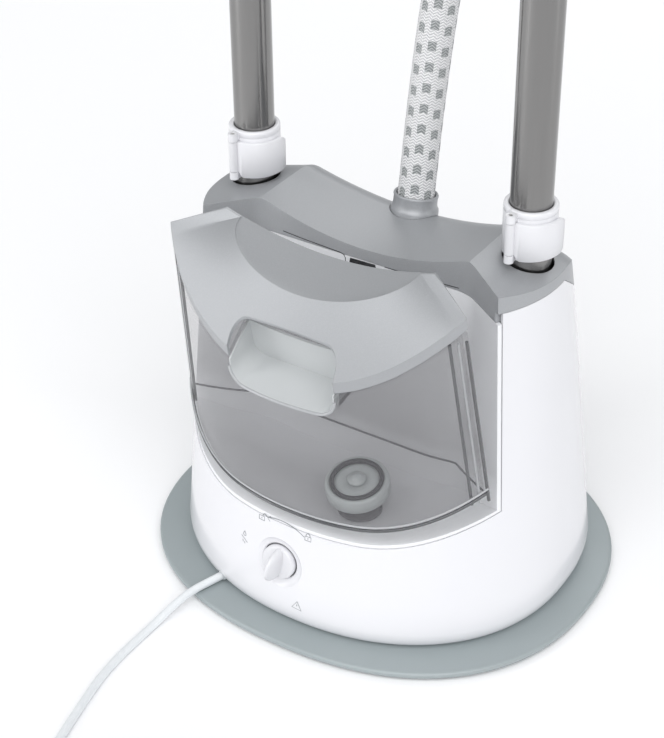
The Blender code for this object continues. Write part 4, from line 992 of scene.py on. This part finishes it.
# ---- Water tank ----
# A smoky transparent tank moulded in SAN, 2.2 mm thick, hinged on its front lower edge and shown
# tipped forward by twelve degrees.  A finger pocket sinks into its top edge.
TANK_PIVOT = Vector((0.0, -0.105, 0.092))
TANK_TILT = math.radians(12)
TANK_WALL = 0.0022
CAP_HALF_X = 0.1055
WINDOW_HALF_X, WINDOW_LOW, WINDOW_BACK_Y = 0.038, 0.187, -0.072
TANK_SLACK = 0.0008
tipped = Matrix.Translation(TANK_PIVOT) @ Matrix.Rotation(TANK_TILT, 4, "X") \
    @ Matrix.Translation(-TANK_PIVOT)


def rounded_outline(low, high, radius):
    """A rectangle in two coordinates with round corners."""
    points = []
    for x, z, start in ((high[0] - radius, high[1] - radius, 0), (low[0] + radius, high[1] - radius, 90),
                        (low[0] + radius, low[1] + radius, 180), (high[0] - radius, low[1] + radius, 270)):
        points += arc(x, z, radius, start, start + 90, 8)
    return points


def cap_rows(inset, drop, shares):
    """Rings across the tank cap: a dished top, a sloping front and a strip along the front edge."""
    rows = []
    for share in shares:
        side, sign = abs(share), math.copysign(1.0, share)
        if side < 0.8:
            angle = math.pi / 2 * side / 0.8
            arc_x, arc_y = 0.064 * math.sin(angle), -0.0315 - 0.0365 * math.cos(angle)
        else:
            arc_x, arc_y = mix(0.064, 0.0742, (side - 0.8) / 0.2), -0.0315
        edge_x = CAP_HALF_X * math.sin(math.pi / 2 * side ** 0.9)
        edge_z = 0.2085 + 0.0435 * (edge_x / CAP_HALF_X) ** 2.2
        edge_y = front_y(edge_x, edge_z, TANK_SLACK) + inset
        points = [(arc_x, -0.0303 - inset, saddle_z(arc_x) - 0.0004)]
        for part in (0.0, 0.25, 0.5, 0.75):
            y = mix(mix(-0.0303 - inset, arc_y - inset, part), arc_y - inset, part)
            points.append((arc_x, y, saddle_z(arc_x) - 0.0004 - 0.0008 * math.sin(math.pi * part)))
        for part in (0.0, 0.2, 0.4, 0.6, 0.8, 0.94, 1.0):
            bow = 0.0064 * (1 - side) * part * (1 - part)
            points.append((mix(arc_x, edge_x, part), mix(arc_y - inset, edge_y, part),
                           mix(saddle_z(arc_x) - 0.0004, edge_z, part) + bow))
        points.append((edge_x, edge_y, edge_z - 0.0085 - drop))
        points.append((arc_x, -0.0303 - inset, saddle_z(arc_x) - 0.0095 - drop))
        rows.append([(sign * x, y, z - inset * 1.1) for x, y, z in points])
    return rows


shares = [i / 40 for i in range(-40, 41)]
roof = []
for row in cap_rows(0.0, 0.0014, shares):
    front, rear = Vector(row[-2]), Vector(row[-1])
    ahead, behind = front + (front - rear) * 0.5, rear + (rear - front) * 0.5
    roof.append([tuple(ahead), tuple(behind), (behind.x, behind.y, 0.42), (ahead.x, ahead.y, 0.42)])
roof = [[(x - 0.05, y, z) for x, y, z in roof[0]]] + roof \
    + [[(x + 0.05, y, z) for x, y, z in roof[-1]]]
TANK_HEIGHTS = [0.080, 0.090, 0.100, 0.120, 0.140, 0.160, 0.180, 0.200, 0.215, 0.230, 0.245, 0.260, 0.275]
FLOOR_LIFT = 0.0092
tank = loft("tank_shell", [body_ring(z, TANK_SLACK) for z in TANK_HEIGHTS])
inner = loft("tank_inside", [body_ring(z, TANK_SLACK + TANK_WALL) for z in TANK_HEIGHTS])
pocket_outline = rounded_outline((-WINDOW_HALF_X, WINDOW_LOW), (WINDOW_HALF_X, 0.33), 0.011)
skin_outline = rounded_outline((-WINDOW_HALF_X - TANK_WALL, WINDOW_LOW - TANK_WALL),
                               (WINDOW_HALF_X + TANK_WALL, 0.34), 0.0132)
carve(inner, ("INTERSECT", bay_plan("inside_plan", -0.0018 - TANK_WALL, 0.07, 0.29)),
      ("DIFFERENCE", ledge("inside_floor", FLOOR_LIFT + TANK_WALL)),
      ("DIFFERENCE", prism("pocket_skin", skin_outline, -0.16, WINDOW_BACK_Y + TANK_WALL, "Y")))
carve(tank, ("INTERSECT", bay_plan("tank_plan", -0.0018, 0.08, 0.28)),
      ("DIFFERENCE", ledge("tank_floor", FLOOR_LIFT)), ("DIFFERENCE", loft("tank_roof", roof)),
      ("DIFFERENCE", inner),
      ("DIFFERENCE", prism("pocket", pocket_outline, -0.16, WINDOW_BACK_Y, "Y")),
      ("DIFFERENCE", peg("valve_hole", 0.0125, VALVE_X, VALVE_Y, 0.08, 0.12)))
tank.data.transform(tipped)

# Smoky SAN: glass-clear with a grey dye, polished by its mould.  Its alpha stands for the dye in
# one wall skin, so that the light passing all the tank's walls comes out grey.
smoky_san, tree, shader = begin_material("smoky_san_polished", "929195", 0.05, IOR=1.57, Alpha=0.14,
                                         Coat_Weight=0.4, Coat_Roughness=0.03)
where = add(tree, "ShaderNodeTexCoord").outputs["Object"]
flow = add(tree, "ShaderNodeTexNoise", {"Scale": 1 / 0.05, "Detail": 2.0}, {"Vector": where})
tint = add(tree, "ShaderNodeMix", {"data_type": "RGBA", 6: colour("8E8D91"), 7: colour("969599")},
           {0: flow.outputs["Fac"]})
spread = add(tree, "ShaderNodeMapRange", {"To Min": 0.03, "To Max": 0.08},
             {"Value": flow.outputs["Fac"]})
tree.links.new(tint.outputs[2], shader.inputs["Base Color"])
tree.links.new(spread.outputs["Result"], shader.inputs["Roughness"])
fit(tank, smoky_san, "tank", "smoky_clear", "tank_body")

# Where walls meet, the SAN is thick and shows as dark and bright lines: a bead along the bottom
# rim, a double flange up each side and a lip round the finger pocket. These lines are painted on
# thin beads, the dark ones as painted shade and the pale ones as a painted highlight.
# Pale bead: a painted highlight for the bright edge of thick clear SAN.
highlight_bead_san = moulded("san_bead_painted_highlight", "B9BBBE", "C6C8CB", 0.06, 0.0050, 0.00002, IOR=1.57, Alpha=0.75,
                    Coat_Weight=0.5, Coat_Roughness=0.03)
# Dark bead: painted shade for the dark edge of thick clear SAN.
shade_bead_san = moulded("san_bead_painted_shade", "4A4B4E", "56585B", 0.10, 0.0050, 0.00002, IOR=1.57,
                   Coat_Weight=0.5, Coat_Roughness=0.03)


def floor_z(x):
    return 0.086 + FLOOR_LIFT + min(0.0125 * (max(0.0, abs(x) - 0.045) / 0.055) ** 2, 0.060)


def corner_x(z, inset):
    """Where the tank's front skin meets its slanting side, by halving the interval."""
    low, high = 0.08, 0.115
    for _ in range(30):
        x = (low + high) / 2
        side_y = BAY_REAR_Y - 0.0018 - BAY_SLOPE * (x - BAY_REAR_X + 0.00099)
        low, high = (x, high) if front_y(x, z, inset) < side_y else (low, x)
    return low


def bead(name, points, radius, material, sides=12):
    route = [tipped @ Vector(p) for p in points]
    fit(swept(name, route, radius, sides), material, "tank", "smoky_clear")


bottom_x = corner_x(0.108, TANK_SLACK) - 0.001
rim_xs = [bottom_x * i / 30 for i in range(-30, 31)]
bead("rim_bead_outer", [(x, front_y(x, floor_z(x), TANK_SLACK + 0.0008), floor_z(x) + 0.0009)
                        for x in rim_xs], 0.0011, shade_bead_san)
bead("rim_bead_upper", [(x, front_y(x, floor_z(x), TANK_SLACK + 0.0006), floor_z(x) + 0.0042)
                        for x in rim_xs], 0.0007, highlight_bead_san)
bead("floor_bead_rear", [(x, BAY_REAR_Y - 0.0042, floor_z(x) + 0.0010)
                         for x in [0.070 * i / 16 for i in range(-16, 17)]], 0.0007, shade_bead_san)
for side, sign in (("left", -1), ("right", 1)):
    for number, (inset, radius, material) in enumerate(
            ((0.0012, 0.0011, shade_bead_san), (0.0042, 0.0009, highlight_bead_san), (0.0074, 0.0010, shade_bead_san))):
        points = []
        for step in range(13):
            z = mix(0.1085, 0.2345, step / 12)
            x = corner_x(z, TANK_SLACK + inset) - 0.4 * inset
            points.append((sign * x, front_y(x, z, TANK_SLACK + 0.0010) + 0.35 * inset, z))
        bead("flange_%s_%d" % (side, number + 1), points, radius, material)
    side_floor = []
    for step in range(9):
        x = mix(0.0700, bottom_x, step / 8)
        y = BAY_REAR_Y - 0.0042 - BAY_SLOPE * max(0.0, x - 0.0745)
        side_floor.append((sign * x, y, floor_z(x) + 0.0010))
    bead("side_bead_" + side, side_floor, 0.0007, shade_bead_san)

lip = []
for x, z in arc(-WINDOW_HALF_X + 0.011, WINDOW_LOW + 0.011, 0.0112, 180, 270, 8) \
        + [(x / 1000, WINDOW_LOW - 0.0002) for x in range(-24, 25, 4)] \
        + arc(WINDOW_HALF_X - 0.011, WINDOW_LOW + 0.011, 0.0112, 270, 360, 8):
    lip.append((x, front_y(x, z, TANK_SLACK + 0.0004), z))
bead("pocket_lip", lip, 0.0011, highlight_bead_san)

# The finger pocket: a cup of frosted SAN set into the tank.
cup = prism("pocket_cup", pocket_outline, -0.16, WINDOW_BACK_Y - 0.0002, "Y")
cup_hollow = rounded_outline((-WINDOW_HALF_X + 0.0010, WINDOW_LOW + 0.0010), (WINDOW_HALF_X - 0.0010, 0.34),
                             0.010)
body_trim = loft("cup_trim", [body_ring(z, TANK_SLACK + 0.0006) for z in TANK_HEIGHTS])
carve(cup, ("DIFFERENCE", prism("cup_hollow", cup_hollow, -0.17, WINDOW_BACK_Y - 0.0014, "Y")),
      ("INTERSECT", body_trim), ("DIFFERENCE", loft("cup_roof", roof)))
cup.data.transform(tipped)
frosted_san = moulded("frosted_san_moulded", "D5D8D9", "CDD0D1", 0.35, 0.0008, 0.00005, Alpha=0.88,
                      IOR=1.57)
fit(cup, frosted_san, "tank", "smoky_clear")


# ---- Tank cap ----
# The silver-lacquered top of the tank, with a dished patch for the thumb and a notch for fingers.
cap = loft("cap_shell", cap_rows(0.0, 0.0, shares), 26)
cap_hollow = [[(x, y, z) for x, y, z in row]
              for row in cap_rows(0.0020, 0.02, [0.965 * share for share in shares])]
notch = rounded_outline((-WINDOW_HALF_X, -0.20), (WINDOW_HALF_X, -0.083), 0.010)
carve(cap, ("DIFFERENCE", loft("cap_hollow", cap_hollow)),
      ("DIFFERENCE", prism("cap_notch", notch, 0.10, 0.30)), sharp=20)
cap.data.transform(tipped)
fit(cap, silver, "tank", "silver", "tank_cap")


# ---- Tank valve ----
# The screw cap in the tank floor, pale ABS with a black sealing ring, and the spring-loaded
# plunger in its middle that opens over the pump inlet.
def tank_turned(name, profile, material, body, slot, *nodes):
    piece = turned(name, profile, (VALVE_X, VALVE_Y, 0.0), steps=96, sharp=50)
    piece.data.transform(tipped)
    return fit(piece, material, body, slot, *nodes)


valve_abs = moulded("grey_abs_satin", "A9AEAE", "A1A6A6", 0.3, 0.0015, 0.00003, IOR=1.53)
tank_turned("valve_cap", [
    (0.0040, 0.0900), (0.0118, 0.0900), (0.0118, 0.0984), (0.0205, 0.0984), (0.0210, 0.0990),
    (0.0210, 0.1055), (0.0206, 0.1072), (0.0200, 0.1080), (0.0190, 0.1085), (0.0178, 0.1080),
    (0.0170, 0.1070), (0.0164, 0.1062), (0.0150, 0.1064), (0.0138, 0.1074), (0.0120, 0.1080),
    (0.0085, 0.1078), (0.0066, 0.1070), (0.0040, 0.1070)],
    valve_abs, "tank", "bay_liner", "tank_valve_cap")
tank_turned("valve_seal", [(0.0150, 0.1066), (0.0172, 0.1072), (0.0176, 0.1084), (0.0170, 0.1094),
                           (0.0158, 0.1096), (0.0148, 0.1090), (0.0145, 0.1078)],
            black_polymer, "tank", "black_plastic")
tank_turned("valve_stem", [(0.0, 0.0905), (0.0036, 0.0905), (0.0036, 0.1078), (0.0060, 0.1080),
                           (0.0062, 0.1090), (0.0056, 0.1098), (0.0040, 0.1102), (0.0030, 0.1110),
                           (0.0022, 0.1116), (0.0, 0.1118)], valve_abs, "plunger", "black_plastic",
            "valve_plunger")


# ---- Poles and couplings ----
# Two pairs of stainless tubes: the upper slide into the lower ones and a white moulded coupling
# holds each pair.
UPPER_RADIUS, TUBE_WALL = 0.0113, 0.0012
for side, x in SIDES:
    lower = tube("pole_low_" + side, POLE_RADIUS - TUBE_WALL, POLE_RADIUS, 0.200, 0.860, x)
    fit(lower, pole_steel, "mast", "pole_steel", "lower_pole_" + side)
    upper = tube("pole_high_" + side, UPPER_RADIUS - TUBE_WALL, UPPER_RADIUS, 0.760, 1.498, x)
    fit(upper, pole_steel, "mast", "pole_steel", "upper_pole_" + side)
    coupling = turned("coupling_" + side,
                      [(POLE_RADIUS + GAP, 0.826), (0.0152, 0.8262), (0.0158, 0.8280),
                       (0.0158, 0.8400), (0.0154, 0.8405), (0.0154, 0.8435), (0.0158, 0.8440),
                       (0.0158, 0.8640), (0.0155, 0.8680), (0.0145, 0.8755), (0.0138, 0.8760),
                       (UPPER_RADIUS + GAP, 0.8760), (UPPER_RADIUS + GAP, 0.8603),
                       (POLE_RADIUS + GAP, 0.8603)], (x, 0.0, 0.0), steps=72, sharp=40)
    fit(coupling, white_abs, "mast", "white", "pole_coupling_" + side)


# ---- Bridge and handset dock ----
# A white ABS bridge caps the poles.  On its front a silver fork holds the handset by its neck.
bridge = rounded_block("bridge_beam", (-0.120, -0.0165, 1.472), (0.120, 0.0165, 1.508), 0.0075, 6)
carve(bridge, *[("DIFFERENCE", peg("bridge_bore", UPPER_RADIUS + GAP, x, 0.0, 1.46, 1.4983, 48))
                for _, x in SIDES], sharp=50)
fit(bridge, white_abs, "mast", "white", "mast_bridge")
dock = rounded_block("dock_fork", (-0.034, -0.078, 1.482), (0.034, -0.0168, 1.496), 0.004, 5)
dock_slot = [(-0.0165, -0.2)] + arc(0.0, HANDSET_Y, 0.0165, 180, 0, 24) + [(0.0165, -0.2)]
carve(dock, ("DIFFERENCE", prism("dock_slot", dock_slot, 1.40, 1.55)), sharp=50)
fit(dock, silver, "mast", "silver", "handset_dock")


# ---- Folding hanger ----
# A hub on a post, and two white arms that swing on steel pins to hang a garment.
hub = rounded_block("hub_block", (-0.036, -0.010, 1.575), (0.036, 0.012, 1.613), 0.006, 5)
bores = [turned("hub_bore", [(0.0, -0.002), (0.0033, -0.002), (0.0033, 0.03), (0.0, 0.03)],
                (x, 0.0, 1.594), (0, 1, 0), steps=32) for x in (-0.020, 0.020)]
carve(hub, ("UNION", peg("post", 0.008, 0.0, 0.0, 1.5083, 1.588, 48)),
      *[("DIFFERENCE", bore) for bore in bores], sharp=50)
fit(hub, white_abs, "mast", "white", "hanger_hub")
ARM_TOP = [(0.0, 0.0088), (0.045, 0.0078), (0.100, -0.003), (0.150, -0.0205), (0.178, -0.0300)]
ARM_LOW = [(0.182, -0.0420), (0.150, -0.0345), (0.100, -0.0190), (0.045, -0.0075), (0.0, -0.0088)]
for side, sign in (("left", -1), ("right", 1)):
    top = [(p.x, p.y) for p in smooth_route([(a, b, 0.0) for a, b in ARM_TOP], 0.006)]
    low = [(p.x, p.y) for p in smooth_route([(a, b, 0.0) for a, b in ARM_LOW], 0.006)]
    back_end = [(-0.0088 * math.sin(math.radians(a)), -0.0088 * math.cos(math.radians(a)))
                for a in range(15, 180, 15)]
    outline = [(sign * (0.020 + a), 1.594 + b) for a, b in top + low + back_end]
    arm = prism("arm_" + side, outline, 0.0185, 0.0265, "Y")
    edge = arm.modifiers.new("edges", "BEVEL")
    edge.width, edge.segments, edge.limit_method = 0.0022, 4, "ANGLE"
    edge.angle_limit = math.radians(50)
    carve(arm, sharp=50)
    bore = turned("arm_bore", [(0.0, -0.02), (0.0033, -0.02), (0.0033, 0.05), (0.0, 0.05)],
                  (sign * 0.020, 0.0, 1.594), (0, 1, 0), steps=32)
    carve(arm, ("DIFFERENCE", bore), sharp=50)
    fit(arm, knob_abs, "hanger_" + side, "white", "hanger_arm_" + side)
    pin = turned("arm_pin_" + side,
                 [(0.0, -0.0010), (0.0030, -0.0010), (0.0030, 0.0268), (0.0050, 0.0268),
                  (0.0050, 0.0276), (0.0044, 0.0284), (0.0030, 0.0288), (0.0, 0.0288)],
                 (sign * 0.020, 0.0, 1.594), (0, 1, 0), steps=32)
    fit(pin, nickel, "mast", "bright_steel", "hanger_pin_" + side)


# ---- Handset ----
# A white ABS handle that swells into the steam head.  In front the head carries an oval plated
# steam plate with two rings of holes, and the handle a silver trigger.
SECTIONS = ((1.2400, 0.0135, 0.0135, 0.0), (1.2440, 0.0160, 0.0165, 0.0),
            (1.3000, 0.0165, 0.0185, 0.0), (1.3700, 0.0180, 0.0205, 0.0),
            (1.4400, 0.0155, 0.0170, 0.0), (1.4780, 0.0135, 0.0135, 0.0),
            (1.4975, 0.0135, 0.0135, 0.0), (1.4985, 0.0230, 0.0200, -0.001),
            (1.5150, 0.0330, 0.0280, -0.006), (1.5400, 0.0440, 0.0350, -0.010),
            (1.5800, 0.0460, 0.0350, -0.010), (1.6100, 0.0360, 0.0300, -0.010),
            (1.6250, 0.0180, 0.0160, -0.010))


def section_rings(sections, spacing):
    """Ovals at even steps through the given ones, joined smoothly in width, depth and shift."""
    rings = []
    for low, high in ((0, 7), (7, len(sections))):
        part = sections[low:high]
        for before, after in zip(part, part[1:]):
            count = max(1, round((after[0] - before[0]) / spacing))
            for step in range(count):
                share = step / count
                z, half_x, half_y, shift = [mix(a, b, share) for a, b in zip(before, after)]
                rings.append((z, half_x, half_y, shift))
        rings.append(part[-1])
    return rings


head_rings = []
for z, half_x, half_y, shift in section_rings(SECTIONS, 0.006):
    ring = oval(half_x, half_y, half_y, HANDSET_Y + shift, 2.3, 2.3, 96)
    head_rings.append([(x, y, z) for x, y in ring])
handset = loft("handset_shell", head_rings, 40)
carve(handset, ("DIFFERENCE", block("face_cut", (-0.1, -0.2, 1.49), (0.1, -0.0925, 1.70))),
      ("DIFFERENCE", block("trigger_slot", (-0.0078, -0.12, 1.3790), (0.0078, -0.0620, 1.4110))),
      ("DIFFERENCE", block("hub_clearance", (-0.05, -0.0230, 1.50), (0.05, 0.05, 1.70))), sharp=40)
fit(handset, white_abs, "mast", "white", "handset_body")
plate_outline = []
for i in range(96):
    a = 2 * math.pi * i / 96
    plate_outline.append((0.041 * math.copysign(abs(math.cos(a)) ** 0.8, math.cos(a)),
                          1.5640 + 0.045 * math.copysign(abs(math.sin(a)) ** 0.85, math.sin(a))))
soleplate = prism("steam_plate", plate_outline, -0.0992, -0.0928, "Y")
edge = soleplate.modifiers.new("edges", "BEVEL")
edge.width, edge.segments, edge.limit_method = 0.0012, 3, "ANGLE"
carve(soleplate, sharp=50)
steam_holes = [turned("steam_hole", [(0.0, -0.002), (0.0013, -0.002), (0.0013, 0.002), (0.0, 0.002)],
                      (reach * math.cos(a), -0.0990, 1.5640 + 1.15 * reach * math.sin(a)), (0, 1, 0),
                      steps=16)
               for reach, count in ((0.012, 6), (0.026, 12)) for a in
               [2 * math.pi * i / count for i in range(count)]]
carve(soleplate, *[("DIFFERENCE", hole) for hole in steam_holes], sharp=50)
fit(soleplate, nickel, "mast", "bright_steel", "handset_soleplate")
trigger = rounded_block("trigger_key", (-0.0074, -0.0815, 1.3795), (0.0074, -0.0675, 1.4105), 0.0025, 4)
fit(trigger, silver, "trigger", "silver", "steam_trigger")
nut_profile = [(0.0, 1.2050), (0.0150, 1.2050), (0.0162, 1.2062)]
for groove in range(5):
    z = 1.2095 + 0.0050 * groove
    nut_profile += [(0.0165, z), (0.0165, z + 0.0030), (0.0160, z + 0.0036), (0.0160, z + 0.0044)]
nut_profile += [(0.0165, 1.2352), (0.0160, 1.2380), (0.0150, 1.2397), (0.0, 1.2397)]
nut = turned("nut_ring", nut_profile, (0.0, HANDSET_Y, 0.0), steps=72)
fit(nut, silver, "mast", "silver", "hose_nut")
